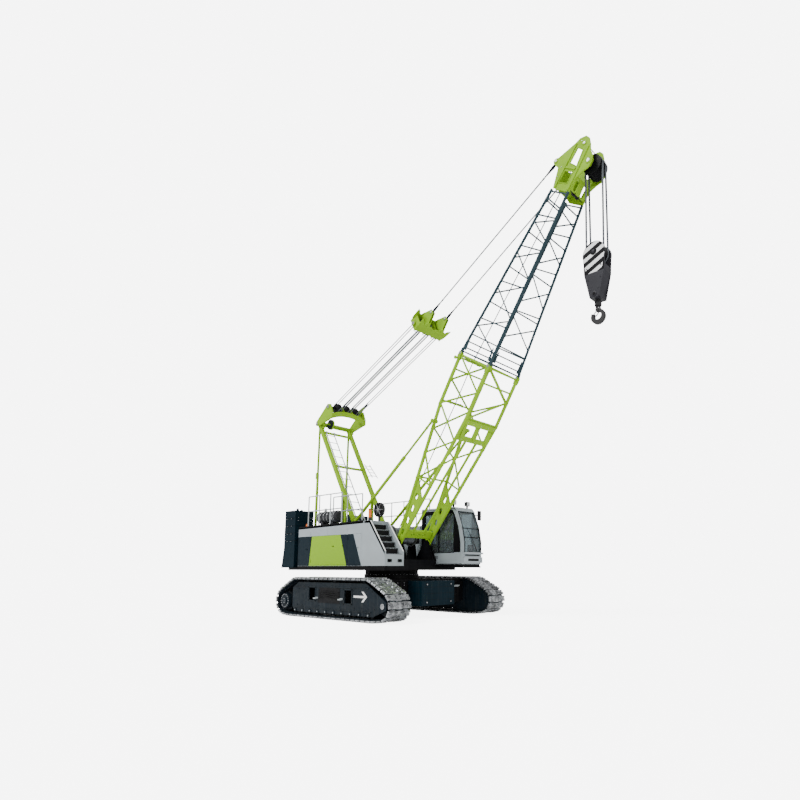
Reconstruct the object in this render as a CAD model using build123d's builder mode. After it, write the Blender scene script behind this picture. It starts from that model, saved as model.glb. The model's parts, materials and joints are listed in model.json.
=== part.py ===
"""Crawler crane with a lattice boom, as an assembly of separate pieces.

Millimetres. +X is forward, +Y is the crane's left (the cab side), +Z is up.
The origin is on the ground, under the centre of the slew ring.
"""

import os
from math import acos, atan2, cos, degrees, hypot, radians, sin

from build123d import *

# Crawlers
GAUGE = 4465
SHOE_WIDTH = 840
CRAWLER_HEIGHT = 1317
END_WHEEL_X = 2570
END_WHEEL_Z = 500
PITCH_RADIUS = 400
LINK_DEPTH = 40
SHOE_DEPTH = 66
SHOE_GAP = 34
SHOE_BEVEL = 10
SHOE_RECESS = 240
SHOE_STEP = 24
SHOES = 54
BOTTOM_RUN = 2200
TOP_RUN = 1950
RUNNING_GAP = 6

# Track frames and what turns in them
BEAM_WIDTH = 600
BEAM_PLATE = 40
BEAM_TOP = 1020
BEAM_BOTTOM = 340
BEAM_END = 2000
SKIRT_TOP = 1150
SKIRT_BOTTOM = 180
SKIRT_FOOT = 2150
SKIRT_SHOULDER = 1800
FRAME_NOSE = 160
FRAME_NECK = 110
OUTER_REAR = 2130
OUTER_REAR_TOP = 960
WINDOW = (350, 400)
WINDOWS = ((-990, 775), (930, 730))
LOWER_ROLLER = 110
LOWER_ROLLERS = 10
LOWER_ROLLER_SPACING = 430
CARRIER_ROLLER = 80
CARRIER_XS = (-1500, 0, 1500)
ROLLER_WIDTH = 300
ROLLER_SIDES = 16
ROLLER_LIFT = 1
WHEEL_WIDTH = 340
WHEEL_AXLE = 90
RIM_INSET = 60
FLANGE_INSET = 15
SPROCKET_TEETH = 12
TOOTH = 62
TOOTH_INSET = 75
HUB_RADIUS = 250
HUB_REACH = 330
HUB_CAP = 120
HUB_CAP_REACH = 360
DRIVE_RADIUS = 230
DRIVE_DEPTH = 240
DRIVE_SHIFT = 40

# Carbody, its weights and the slew ring
AXLE_BEAM = (760, 830)
AXLE_BEAM_X = 1260
CARBODY_BOTTOM = 420
CARBODY_TOP = 1250
CARBODY_CORE = 1900
BEAM_DEEP_Y = 1780
BEAM_NECK_RISE = 40
BEAM_NECK_DROP = 110
TIE_REACH = 90
TIE_PLATE = 40
TIE_HOLE = 36
TIE_Y = 1400
TIE_Z = 700
PEDESTAL_RADIUS = 950
RING_BOTTOM = 1390
RING_OUTER = 900
RING_INNER = 720
RING_TEETH = 72
RING_TOOTH = 40
CARBODY_WEIGHT = (720, 1500, 790)
CARBODY_WEIGHT_BOTTOM = 410
CARBODY_WEIGHT_CHAMFER = 40

# Superstructure deck
MACHINE_WIDTH = 3459
DECK_BOTTOM = 1540
DECK_TOP = 1685
DECK_REAR = -3810
DECK_FRONT = 1450
SHELF_TOP = 1625
SPINE_WIDTH = 1500
SPINE_TOP = 1900
CAB_SILL_FRONT = 2660
CAB_SILL_DEPTH = 60
EAR_LENGTH = 900
EAR_SHOULDER = 40
EAR_CROWN = 60

# Houses
WALL = 40
HOUSE_WIDTH = 790
HOUSE_REAR = -3210
HOUSE_TOP = 3155
ROOF_FALL = 60
ROOF_CHAMFER = 30
RIGHT_HOUSE_FRONT = 560
LEFT_HOUSE_FRONT = 420
DOOR_BOTTOM = 1725
DOOR_TOP = 2740
DOOR_GAP = 6
RIGHT_DOORS = (("rear", -3150, -2480), ("middle", -2420, -320), ("front", -260, 460))
LEFT_DOORS = (("middle", -2420, -320),)
VENT = (540, 50)
VENT_X = 80
VENTS = 7
VENT_PITCH = 130
ENGINE = ((-2250, -750), 560, 2700)

# Nose with the boarding stairs
STAIR_TOP_X = 905
NOSE_FRONT = 1663
NOSE_TOP = 2151
STRINGER = 50
STEPS = 4
STEP_DEPTH = 240

# Counterweight
STACK_REAR = -4400
STACK_FRONT = -3560
STACK_INNER = 910
STACK_OUTER = 1680
STACK_TOP = 3770
STACK_FLARE = 130
STACK_FLARE_TOP = 2350
STACK_BATTER = 20
SLABS = 5
SEAM_DEPTH = 15
SEAM_HEIGHT = 14
STACK_LUG = (110, 40, 90)
BASE_TOP = 2600
BASE_SETBACK = 100

# Cab
CAB_WIDTH = 944
CAB_REAR = 650
CAB_FRONT = 2690
CAB_BOTTOM = 1740
CAB_ROOF = 3720
CAB_WALL = 50
CAB_CORNER = 45
SILL = 2150
SCREEN_TOP = 3560
SCREEN_SETBACK = 315
CAB_BROW = 420
REAR_PANE = (2500, 3500)
PILLAR = 70
GLASS = 10
GLASS_INSET = 20
CAB_DOOR = (1330, 2330, 1830, 3600)
SIDE_PANE = (850, 2240)
CAB_MOUNT = 60
CAB_MOUNT_XS = (850, 2450)
LEDGE_REACH = 90
LEDGE = (2090, 2150)
BUMPER = (1790, 1990)
BUMPER_REACH = 50
SEAT_WIDTH = 480
SEAT_BASE = ((1250, 1750), 2300)
SEAT_BACK = ((1150, 1290), (2250, 2950))

# Boom
BOOM_ANGLE = 58.43
FOOT_X = 1084
FOOT_Z = 2466
FOOT_HALF = 657
FOOT_PLATE = 50
FOOT_BOSS = 130
FOOT_PIN = 55
FOOT_LEVEL = 60
PIN_GAP = 0.5
SECTION_HALF = 720
SECTION_DEPTH = 662
TAPER_END = 4800
BASE_LENGTH = 6500
TIP_END = 11800
TIP_BACK = -70
TIP_FRONT = -470
TIP_HALF = 390
CHORD = 58
LACE = 34
FIRST_LACE = 2300
FOOT_BAYS = 3
TOP_BAYS = 2
TIP_BAYS = 6
END_SETBACK = 60
JOINT_GAP = 8
JOINT_SLEEVE = 90
FOOT_BOX = (230, 490, 60)
PORTAL = (4050, 4760, 160)
PORTAL_POST = 120
STRUT_Y = 250
STRUT_RADIUS = 45
JOINT_LUG = (150, 480)
FOOT_SLOT = (110, 120, 10)
BOX_SLOT = (80, 70)

# Boom head, measured from the end of the tip section
SHEAVE_REACH = 900
SHEAVE_ABOVE = -740
SHEAVE_RADIUS = 280
SHEAVE_WIDTH = 60
SHEAVE_RIM = 12
SHEAVE_PITCH = 90
SHEAVE_SHAFT = 60
HEAD_SHEAVES = 5
HEAD_PLATE = 40
HEAD_LENGTH = 1530
HEAD_LOBE = 120
JIB_PIN_REACH = 1330
JIB_PIN_ABOVE = -350
JIB_PIN_HOLE = 35
PENDANT_REACH = 760
PENDANT_ABOVE = 410
PENDANT_LUG = 95
PENDANT_PIN = 40
HEAD_WINDOW_SETBACK = 90
FRONT_PLATE = 30
FRONT_HOLE = 75
FRONT_SLOT = 190
FRONT_SLOT_REACH = 290

# Gantry and boom hoist
GANTRY_X = -3690
GANTRY_Z = 7280
GANTRY_SIDE = 680
LEG_FOOT_X = -750
LEG_FOOT_Z = 2300
LEG_DEPTH = 150
LEG_WIDTH = 110
LEG_FOOT_WIDTH = 100
LEG_FEET = (120, 220, 60, 90, 80)
CROSSBARS = (3300, 5500, 6950)
CROSSBAR = 50
STRUT_X = -2050
STRUT_TOP = 4500
STRUT_DEPTH = 90
STAY_FOOT_X = -3780
STAY_TOP = 7140
STAY_JOINT = 5300
STAY_DEPTHS = (95, 60)
STAY_WIDTH = 60
ARM_PLATE = 60
ARM_GAP = 40
FALLS_X = -2990
FALLS_Z = 7860
FALL_SHEAVE = 200
FALL_SHEAVE_WIDTH = 150
FALL_SHAFT = 50
FALL_GROUPS = (-400, 0, 400)
HANGERS = (-200, 200)
ARCH_CROWN = 7740
ARCH_RISE = 180
ARCH_DEPTH = 200
ARCH_PLATE = 30
GUIDE = (-3450, 7300, -350)
GUIDE_RADIUS = 200
GUIDE_WIDTH = 60
GUIDE_SHAFT = 30
BRIDLE_X = 1600
BRIDLE_Z = 10000
BRIDLE_PIN_X = 2190
BRIDLE_PIN_Z = 10310
BRIDLE_HALF = 620
BRIDLE_PLATE = 25
BRIDLE_GAP = 20
PRONG = 50
BRIDLE_PIN = 35
EYE = 75
EYE_WIDTH = 40
FORK_PLATE = 20
FORK_GAP = 14
PENDANT_BAR = 22
SOCKET = (28, 330)
ROPE = 13
ROPE_LIFT = 1
ROPE_SIDE = 50
BRIDLE_FALL = (230, 2280)
GANTRY_FALL = (350, 2350)
GANTRY_FALL_DROP = 40

# Backstops
BACKSTOP_ALONG = 4190
BACKSTOP_ABOVE = 550
BACKSTOP_SIDE = 850
BACKSTOP_X = -1100
BACKSTOP_Z = 3220
BACKSTOP_PIN = 28
BACKSTOP_BOSS = 60
BACKSTOP_CLEAR = 12
BRACKET = 60
BRACKET_DEPTH = 70
TUBE_RADIUS = 55
TUBE_LENGTH = 3300
ROD_RADIUS = 38
ROD_LENGTH = 3100

# Winches: name, axis x, axis z, drum radius
DRUMS = (("main", 430, 2740, 260), ("aux", -480, 2560, 250), ("luffing", -1900, 2400, 210))
DRUM_WIDTH = 900
DRUM_FLANGE = 90
FLANGE_PLATE = 40
DRUM_SHAFT = 70
CHEEK_GAP = 60
CHEEK_PLATE = 40
CHEEK_FOOT = 260
CHEEK_CROWN = 110

# Hoist rope, hook block and hook, measured from the head shaft down
HOOK_DROP = 2599
UPPER_ROPE_SHARE = 0.54
LOWER_ROPE_SHARE = 0.48
BLOCK_CROWN = 300
BLOCK_SHOULDER = -150
BLOCK_WAIST = -600
BLOCK_FOOT = -1310
BLOCK_HALF = 330
BLOCK_WAIST_HALF = 310
BLOCK_FOOT_HALF = 150
BLOCK_SHAFT = 60
BLOCK_CHEEK_Y = 190
CHEEK = 40
BLOCK_SHIFT = 35
HOOK_DEPTH = 700
HOOK_BOWL = 210
HOOK_THROAT = 110
HOOK_LIFT = 20
HOOK_OPENING = 290
HOOK_START = 150
HOOK_THICKNESS = 110
SHANK = 300

# Handrails, the ladder and the fittings on the roofs
RAIL = 21
RAIL_HEIGHT = 1080
RAIL_SINK = 15
# Rail runs: side, distance from the outer wall, rear x, front x, bays
RAILS = ((-1, 110, -2790, -780, 3), (-1, 740, -2180, -480, 2), (1, 110, -2700, 200, 4))
LADDER_Y = (-520, -160)
LADDER_TOP = 7000
LADDER_RUNGS = 12
LADDER_RUNG = 14
MUFFLER = (-2450, -1280, -1350, 210)
MUFFLER_DOME = 70
MUFFLER_FOOT = (140, 260)
MUFFLER_LIFT = 115
TAIL_PIPE = (-2120, 45, 330)
BEACON = (720, -1600)
# Beacon tiers: radius, height
BEACON_TIERS = ((60, 110), (50, 290))
REEL = (470, -1010, 3580, 250, 90)
REEL_POST = 40
CAB_LAMPS = ((2120, 900), (2120, 1600))
CAB_LAMP = (110, 160, 150)
LAMP_STEM = (25, 90)
MIRROR = (2480, 1850, 3300, 3640)
MIRROR_SIZE = (30, 180)
MIRROR_ARM = 14
MIRROR_ROOT = (2370, 1690)

track_y = GAUGE / 2
half_width = MACHINE_WIDTH / 2
sides = (("left", 1), ("right", -1))
boom_turn = radians(BOOM_ANGLE)
boom_dir = Vector(cos(boom_turn), 0, sin(boom_turn))
boom_up = Vector(-sin(boom_turn), 0, cos(boom_turn))
foot = Vector(FOOT_X, 0, FOOT_Z)

os.makedirs("parts", exist_ok=True)


def write(part, name):
    """Labels one finished piece and writes its STEP file."""
    part.label = name
    export_step(part, f"parts/{name}.step")


def at(x, y, z):
    """An upright side plane with its own origin, for round pieces on a cross axis."""
    return Plane(origin=(x, y, z), x_dir=(1, 0, 0), z_dir=(0, -1, 0))


def side_plane(y):
    """The side view at y: local x is forward, local y is up."""
    return at(0, y, 0)


def boom_plane(y, along=0):
    """The side view along the boom: local x is along it, local y is towards its back."""
    return Plane(origin=boom_point(along, 0, y), x_dir=boom_dir, z_dir=(0, -1, 0))


def boom_point(along, above, y):
    """A point given along the boom, towards its back, and across it."""
    return foot + boom_dir * along + boom_up * above + Vector(0, y, 0)


def slab(outline, width, plane):
    """A flat piece with straight edges, as thick as width about its plane."""
    with BuildPart() as piece:
        with BuildSketch(plane):
            with BuildLine():
                Polyline(*outline, close=True)
            make_face()
        extrude(amount=width / 2, both=True)
    return piece.part


def plate(x, y, width, plane):
    """A rectangular flat piece between the low and high values given in its plane."""
    return slab(((x[0], y[0]), (x[1], y[0]), (x[1], y[1]), (x[0], y[1])), width, plane)


def block(x, y, z):
    """A box between the low and high values given for each axis."""
    with BuildPart() as piece:
        with Locations(((x[0] + x[1]) / 2, (y[0] + y[1]) / 2, (z[0] + z[1]) / 2)):
            Box(x[1] - x[0], y[1] - y[0], z[1] - z[0])
    return piece.part


def disc(radius, width, plane):
    """A round piece about the origin of its plane, centred on the plane."""
    with BuildPart() as piece:
        with BuildSketch(plane):
            Circle(radius)
        extrude(amount=width / 2, both=True)
    return piece.part


def bar(start, end, radius, count=6):
    """A straight bar between two points, with a regular section."""
    run = Vector(*end) - Vector(*start)
    with BuildPart() as piece:
        with BuildSketch(Plane(origin=start, z_dir=run)):
            RegularPolygon(radius, count)
        extrude(amount=run.length)
    return piece.part


def beam(start, end, depth, width, y):
    """A flat-sided beam between two points of the side view."""
    low = Vector(*start)
    high = Vector(*end)
    run = (high - low).normalized()
    half = Vector(-run.Y, run.X) * depth / 2
    corners = (low + half, low - half, high - half, high + half)
    return slab([(corner.X, corner.Y) for corner in corners], width, side_plane(y))


def span(centre, width):
    """The low and high value of a width about its centre."""
    return centre - width / 2, centre + width / 2


def tangent(point, turn):
    """The angle on the end wheel where a straight run to point leaves its pitch circle."""
    run_x = point[0] - END_WHEEL_X
    run_z = point[1] - END_WHEEL_Z
    return degrees(atan2(run_z, run_x) + turn * acos(PITCH_RADIUS / hypot(run_x, run_z)))


def track_loop(depth):
    """Outer outline of a track's shoes at a depth of pad, and the inner outline of its links."""
    low = (BOTTOM_RUN, SHOE_DEPTH)
    high = (TOP_RUN, CRAWLER_HEIGHT - SHOE_DEPTH)
    first = tangent(low, 1)
    last = tangent(high, -1)
    with BuildLine() as front:
        Line((0, SHOE_DEPTH), low)
        wheel = CenterArc((END_WHEEL_X, END_WHEEL_Z), PITCH_RADIUS, first, last - first)
        Line(low, wheel @ 0)
        Line(wheel @ 1, high)
        Line(high, (0, high[1]))
    with BuildLine() as loop:
        add(front.line)
        mirror(front.line, about=Plane.YZ)
    wire = Wire(loop.edges())
    joints = [wire.position_at(index / SHOES) for index in range(SHOES)]
    outside = []
    inside = []
    for index, pin in enumerate(joints):
        run = joints[(index + 1) % SHOES] - pin
        along = run.normalized()
        out = Vector(along.Y, -along.X)
        if out.dot(pin + run / 2 - Vector(0, END_WHEEL_Z)) < 0:
            out = -out
        edge = SHOE_GAP / 2
        for distance, reach in (
            (edge, depth / 3),
            (edge + SHOE_BEVEL, depth),
            (run.length - edge - SHOE_BEVEL, depth),
            (run.length - edge, depth / 3),
        ):
            spot = pin + along * distance + out * reach
            outside.append((spot.X, spot.Y))
        previous = (pin - joints[index - 1]).normalized()
        bend = (along + previous).normalized()
        inward = Vector(-bend.Y, bend.X)
        if inward.dot(Vector(0, END_WHEEL_Z) - pin) < 0:
            inward = -inward
        spot = pin + inward * LINK_DEPTH
        inside.append((spot.X, spot.Y))
    return outside, inside


pad_outline, link_outline = track_loop(SHOE_DEPTH)
recess_outline, _ = track_loop(SHOE_DEPTH - SHOE_STEP)
wheel_radius = PITCH_RADIUS - LINK_DEPTH - RUNNING_GAP


def shoe_band(outline, middle, width):
    """One band of the track's shoes, across a width about its middle."""
    with BuildPart() as band:
        with BuildSketch(side_plane(middle)):
            with BuildLine():
                Polyline(*outline, close=True)
            make_face()
            with BuildLine():
                Polyline(*link_outline, close=True)
            make_face(mode=Mode.SUBTRACT)
        extrude(amount=width / 2, both=True)
    return band.part


def write_pair(part, name):
    """Writes a left piece, and its mirror image as the right one."""
    write(part, f"{name}_left")
    write(mirror(part, about=Plane.XZ), f"{name}_right")


# Tracks, each one fixed loop: two rows of pads with a shallow channel between them
pad_width = (SHOE_WIDTH - SHOE_RECESS) / 2
pad_offset = (SHOE_RECESS + pad_width) / 2
with BuildPart() as track:
    add(shoe_band(recess_outline, track_y, SHOE_RECESS))
    add([shoe_band(pad_outline, track_y + step * pad_offset, pad_width) for step in (-1, 1)])
write_pair(track.part, "track")

# Track frames: two side plates joined by a closed beam, forked at the front for the idler
nose_x = END_WHEEL_X + FRAME_NOSE
neck = (END_WHEEL_Z - FRAME_NECK, END_WHEEL_Z + FRAME_NECK)
front_outline = (
    (SKIRT_FOOT, SKIRT_BOTTOM),
    (nose_x, neck[0]),
    (nose_x, neck[1]),
    (SKIRT_SHOULDER, SKIRT_TOP),
)
rear_outline = tuple((-x, z) for x, z in reversed(front_outline))
inner_plate = front_outline + rear_outline
outer_plate = front_outline + (
    (-SKIRT_SHOULDER, SKIRT_TOP),
    (-OUTER_REAR, OUTER_REAR_TOP),
    (-OUTER_REAR, BEAM_BOTTOM),
    (-BEAM_END, SKIRT_BOTTOM),
)
plate_offset = (BEAM_WIDTH - BEAM_PLATE) / 2
inner_half = BEAM_WIDTH / 2 - BEAM_PLATE
lower_z = SHOE_DEPTH + LINK_DEPTH + LOWER_ROLLER + ROLLER_LIFT
carrier_z = CRAWLER_HEIGHT - SHOE_DEPTH - LINK_DEPTH - CARRIER_ROLLER - ROLLER_LIFT
first_roller = -(LOWER_ROLLERS - 1) / 2 * LOWER_ROLLER_SPACING
# Rollers: x, z, radius
lower_xs = [first_roller + index * LOWER_ROLLER_SPACING for index in range(LOWER_ROLLERS)]
rollers = [(x, lower_z, LOWER_ROLLER) for x in lower_xs]
rollers += [(x, carrier_z, CARRIER_ROLLER) for x in CARRIER_XS]


def prism(radius, width, plane):
    """A many-sided roller about the origin of its plane."""
    with BuildPart() as piece:
        with BuildSketch(plane):
            RegularPolygon(radius, ROLLER_SIDES)
        extrude(amount=width / 2, both=True)
    return piece.part


inside_width = span(track_y, 2 * inner_half)
with BuildPart() as track_frame:
    add(slab(inner_plate, BEAM_PLATE, side_plane(track_y - plate_offset)))
    add(slab(outer_plate, BEAM_PLATE, side_plane(track_y + plate_offset)))
    for low in (BEAM_BOTTOM, BEAM_TOP - BEAM_PLATE):
        add(block((-BEAM_END, BEAM_END), inside_width, (low, low + BEAM_PLATE)))
    for end in (-1, 1):
        wall = sorted((end * BEAM_END, end * (BEAM_END - BEAM_PLATE)))
        add(block(wall, inside_width, (BEAM_BOTTOM, BEAM_TOP)))
        hub = at(end * END_WHEEL_X, track_y, END_WHEEL_Z)
        add(disc(WHEEL_AXLE + PIN_GAP, 2 * BEAM_WIDTH, hub), mode=Mode.SUBTRACT)
    with Locations([(x, track_y, z) for x, z in WINDOWS]):
        Box(WINDOW[0], 2 * BEAM_WIDTH, WINDOW[1], mode=Mode.SUBTRACT)
    add([prism(radius, ROLLER_WIDTH, at(x, track_y, z)) for x, z, radius in rollers])
    add([prism(radius / 2, 2 * inner_half, at(x, track_y, z)) for x, z, radius in rollers])
write_pair(track_frame.part, "track_frame")

# Drive sprockets at the rear, with the hub cover outside, and idlers at the front
for side, sign in sides:
    middle = sign * track_y
    hub = at(-END_WHEEL_X, middle, END_WHEEL_Z)
    with BuildPart() as sprocket:
        with BuildSketch(hub):
            Circle(wheel_radius - TOOTH_INSET)
            with PolarLocations(wheel_radius - TOOTH_INSET, SPROCKET_TEETH):
                RegularPolygon(TOOTH, 6)
        extrude(amount=WHEEL_WIDTH / 2, both=True)
        add(disc(WHEEL_AXLE, BEAM_WIDTH, hub))
        for radius, reach in ((HUB_RADIUS, HUB_REACH), (HUB_CAP, HUB_CAP_REACH)):
            add(disc(radius, reach, at(-END_WHEEL_X, middle + sign * reach / 2, END_WHEEL_Z)))
    write(sprocket.part, f"sprocket_{side}")
    hub = at(END_WHEEL_X, middle, END_WHEEL_Z)
    with BuildPart() as idler:
        add(disc(wheel_radius - RIM_INSET, WHEEL_WIDTH, hub))
        add(disc(wheel_radius - FLANGE_INSET, WHEEL_WIDTH / 2, hub))
        add(disc(WHEEL_AXLE, BEAM_WIDTH, hub))
    write(idler.part, f"idler_{side}")

# Final drives, on the inner faces of the frames at the rear
with BuildPart() as final_drives:
    for _, sign in sides:
        face = sign * (track_y - BEAM_WIDTH / 2)
        drive = at(-END_WHEEL_X + DRIVE_SHIFT, face - sign * DRIVE_DEPTH / 2, END_WHEEL_Z)
        add(disc(DRIVE_RADIUS, DRIVE_DEPTH, drive))
write(final_drives.part, "final_drives")

# Carbody: a deep core between two axle beams, with a round pedestal and lashing eyes
beam_inner_y = track_y - BEAM_WIDTH / 2
beam_low = CARBODY_TOP - AXLE_BEAM[1]
with BuildPart() as carbody:
    core = span(0, CARBODY_CORE)
    add(block(core, core, (CARBODY_BOTTOM, CARBODY_TOP)))
    for end in (-1, 1):
        reach = span(end * AXLE_BEAM_X, AXLE_BEAM[0])
        add(block(reach, (-BEAM_DEEP_Y, BEAM_DEEP_Y), (beam_low, CARBODY_TOP)))
        neck_rise = (beam_low + BEAM_NECK_RISE, CARBODY_TOP - BEAM_NECK_DROP)
        add(block(reach, (-beam_inner_y, beam_inner_y), neck_rise))
        for sign in (-1, 1):
            face = end * (AXLE_BEAM_X + AXLE_BEAM[0] / 2)
            eye = Plane(origin=(face + end * TIE_REACH, sign * TIE_Y, TIE_Z))
            root = sorted((face, eye.origin.X))
            add(block(root, span(sign * TIE_Y, 2 * TIE_REACH), span(TIE_Z, TIE_PLATE)))
            add(disc(TIE_REACH, TIE_PLATE, eye))
            add(disc(TIE_HOLE, 2 * TIE_PLATE, eye), mode=Mode.SUBTRACT)
    with BuildSketch(Plane.XY.offset(CARBODY_TOP)):
        Circle(PEDESTAL_RADIUS)
    extrude(amount=RING_BOTTOM - CARBODY_TOP)
write(carbody.part, "carbody")

weight_face = AXLE_BEAM_X + AXLE_BEAM[0] / 2
for name, sign in (("front", 1), ("rear", -1)):
    with BuildPart() as carbody_weight:
        reach = sorted((sign * weight_face, sign * (weight_face + CARBODY_WEIGHT[0])))
        rise = (CARBODY_WEIGHT_BOTTOM, CARBODY_WEIGHT_BOTTOM + CARBODY_WEIGHT[2])
        add(block(reach, span(0, CARBODY_WEIGHT[1]), rise))
        chamfer(carbody_weight.edges().filter_by(Axis.Z), CARBODY_WEIGHT_CHAMFER)
    write(carbody_weight.part, f"carbody_weight_{name}")

with BuildPart() as slew_ring:
    with BuildSketch(Plane.XY.offset(RING_BOTTOM)):
        Circle(RING_OUTER)
        with PolarLocations(RING_OUTER, RING_TEETH):
            Rectangle(RING_TOOTH, RING_TOOTH)
        Circle(RING_INNER, mode=Mode.SUBTRACT)
    extrude(amount=DECK_BOTTOM - RING_BOTTOM - RUNNING_GAP)
write(slew_ring.part, "slew_ring")

# Deck: a deep spine with wings under the houses, a sill under the cab and ears for the boom foot
ear_inner = FOOT_HALF - FOOT_PLATE / 2 - RUNNING_GAP
ear_outer = FOOT_HALF + FOOT_PLATE / 2 + RUNNING_GAP
ear_outline = (
    (DECK_FRONT - EAR_LENGTH, SPINE_TOP),
    (DECK_FRONT, SPINE_TOP),
    (FOOT_X + FOOT_BOSS, FOOT_Z + EAR_SHOULDER),
    (FOOT_X + EAR_CROWN, FOOT_Z + FOOT_BOSS),
    (FOOT_X - EAR_CROWN, FOOT_Z + FOOT_BOSS),
    (FOOT_X - FOOT_BOSS, FOOT_Z + EAR_SHOULDER),
)
with BuildPart() as deck:
    half = SPINE_WIDTH / 2
    add(block((DECK_REAR, DECK_FRONT), (-half, half), (DECK_BOTTOM, SPINE_TOP)))
    add(block((HOUSE_REAR, NOSE_FRONT), (-half_width, -half), (DECK_BOTTOM, DECK_TOP)))
    add(block((HOUSE_REAR, DECK_FRONT), (half, half_width), (DECK_BOTTOM, DECK_TOP)))
    add(block((DECK_REAR, HOUSE_REAR), (-half_width, half_width), (DECK_BOTTOM, SHELF_TOP)))
    sill_y = (half_width - CAB_WIDTH, half_width)
    add(block((DECK_FRONT, CAB_SILL_FRONT), sill_y, (DECK_TOP - CAB_SILL_DEPTH, DECK_TOP)))
    for x in CAB_MOUNT_XS:
        for y in (sill_y[0] + 2 * CAB_MOUNT, sill_y[1] - 2 * CAB_MOUNT):
            add(block(span(x, CAB_MOUNT), span(y, CAB_MOUNT), (DECK_TOP, CAB_BOTTOM)))
    for sign in (-1, 1):
        for y in (ear_inner - BEAM_PLATE / 2, ear_outer + BEAM_PLATE / 2):
            add(slab(ear_outline, BEAM_PLATE, side_plane(sign * y)))
    for _, x, z, _ in DRUMS:
        cheek = (
            (x - CHEEK_FOOT, SPINE_TOP),
            (x + CHEEK_FOOT, SPINE_TOP),
            (x + CHEEK_CROWN, z + CHEEK_CROWN),
            (x - CHEEK_CROWN, z + CHEEK_CROWN),
        )
        for sign in (-1, 1):
            cheek_y = sign * (DRUM_WIDTH / 2 + FLANGE_PLATE + CHEEK_GAP - CHEEK_PLATE / 2)
            add(slab(cheek, CHEEK_PLATE, side_plane(cheek_y)))
            add(disc(DRUM_SHAFT + PIN_GAP, 2 * CHEEK_PLATE, at(x, cheek_y, z)), mode=Mode.SUBTRACT)
    pin = at(FOOT_X, 0, FOOT_Z)
    add(disc(FOOT_PIN, 2 * (ear_outer + 2 * BEAM_PLATE), pin))
    add(disc(2 * FOOT_PIN, 2 * (ear_inner - BEAM_PLATE), pin), mode=Mode.SUBTRACT)
write(deck.part, "deck")


def house_shell(front, sign, doors, vents):
    """A thin-walled house with bevelled roof edges and its door openings and air vents cut."""
    middle = sign * (half_width - HOUSE_WIDTH / 2)
    outline = (
        (HOUSE_REAR, DECK_TOP),
        (front, DECK_TOP),
        (front, HOUSE_TOP),
        (HOUSE_REAR, HOUSE_TOP - ROOF_FALL),
    )
    inner = (
        (HOUSE_REAR + WALL, DECK_TOP + WALL),
        (front - WALL, DECK_TOP + WALL),
        (front - WALL, HOUSE_TOP - WALL),
        (HOUSE_REAR + WALL, HOUSE_TOP - ROOF_FALL - WALL),
    )
    outer_face = sign * half_width
    with BuildPart() as house:
        add(slab(outline, HOUSE_WIDTH, side_plane(middle)))
        chamfer(house.faces().sort_by(Axis.Z)[-1].edges().filter_by(Axis.Y, reverse=True), ROOF_CHAMFER)
        add(slab(inner, HOUSE_WIDTH - 2 * WALL, side_plane(middle)), mode=Mode.SUBTRACT)
        across = sorted((outer_face - sign * (WALL + RUNNING_GAP), outer_face + sign * RUNNING_GAP))
        for _, rear, ahead in doors:
            opening = (rear - DOOR_GAP, ahead + DOOR_GAP)
            add(block(opening, across, (DOOR_BOTTOM - DOOR_GAP, DOOR_TOP + DOOR_GAP)), mode=Mode.SUBTRACT)
        for index in range(vents):
            low = DOOR_BOTTOM + (index + 1) * VENT_PITCH
            add(block(span(VENT_X, VENT[0]), across, (low, low + VENT[1])), mode=Mode.SUBTRACT)
    return house.part


house_right = house_shell(RIGHT_HOUSE_FRONT, -1, RIGHT_DOORS, 0)
write(house_right, "house_right")
house_left = house_shell(LEFT_HOUSE_FRONT, 1, LEFT_DOORS, VENTS)
write(house_left, "house_left")

# Nose with the boarding stairs, between two stringers
house_middle = half_width - HOUSE_WIDTH / 2
nose_outline = (
    (RIGHT_HOUSE_FRONT, DECK_TOP),
    (NOSE_FRONT, DECK_TOP),
    (NOSE_FRONT, NOSE_TOP),
    (STAIR_TOP_X, HOUSE_TOP),
    (RIGHT_HOUSE_FRONT, HOUSE_TOP),
)
with BuildPart() as house_nose:
    add(slab(nose_outline, HOUSE_WIDTH, side_plane(-house_middle)))
    rise = (HOUSE_TOP - NOSE_TOP) / (STEPS + 1)
    run = (NOSE_FRONT - STAIR_TOP_X) / (STEPS + 1)
    beyond = (NOSE_FRONT + RUNNING_GAP, HOUSE_TOP + RUNNING_GAP)
    stair = [(beyond[0], NOSE_TOP - rise / 2)]
    for index in range(STEPS + 1):
        x = NOSE_FRONT - STEP_DEPTH - index * run
        stair.append((x, NOSE_TOP - rise / 2 + index * rise))
        stair.append((x, NOSE_TOP - rise / 2 + (index + 1) * rise))
    stair.append((STAIR_TOP_X, beyond[1]))
    stair.append(beyond)
    add(slab(stair, HOUSE_WIDTH - 2 * STRINGER, side_plane(-house_middle)), mode=Mode.SUBTRACT)
write(house_nose.part, "house_nose")

for side, sign, doors in (("right", -1, RIGHT_DOORS), ("left", 1, LEFT_DOORS)):
    for name, rear, ahead in doors:
        with BuildPart() as door:
            across = sorted((sign * (half_width - WALL), sign * half_width))
            add(block((rear, ahead), across, (DOOR_BOTTOM, DOOR_TOP)))
        write(door.part, f"door_{name}_{side}")

engine_x, engine_width, engine_top = ENGINE
write(block(engine_x, span(-house_middle, engine_width), (DECK_TOP + WALL, engine_top)), "engine")

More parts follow.
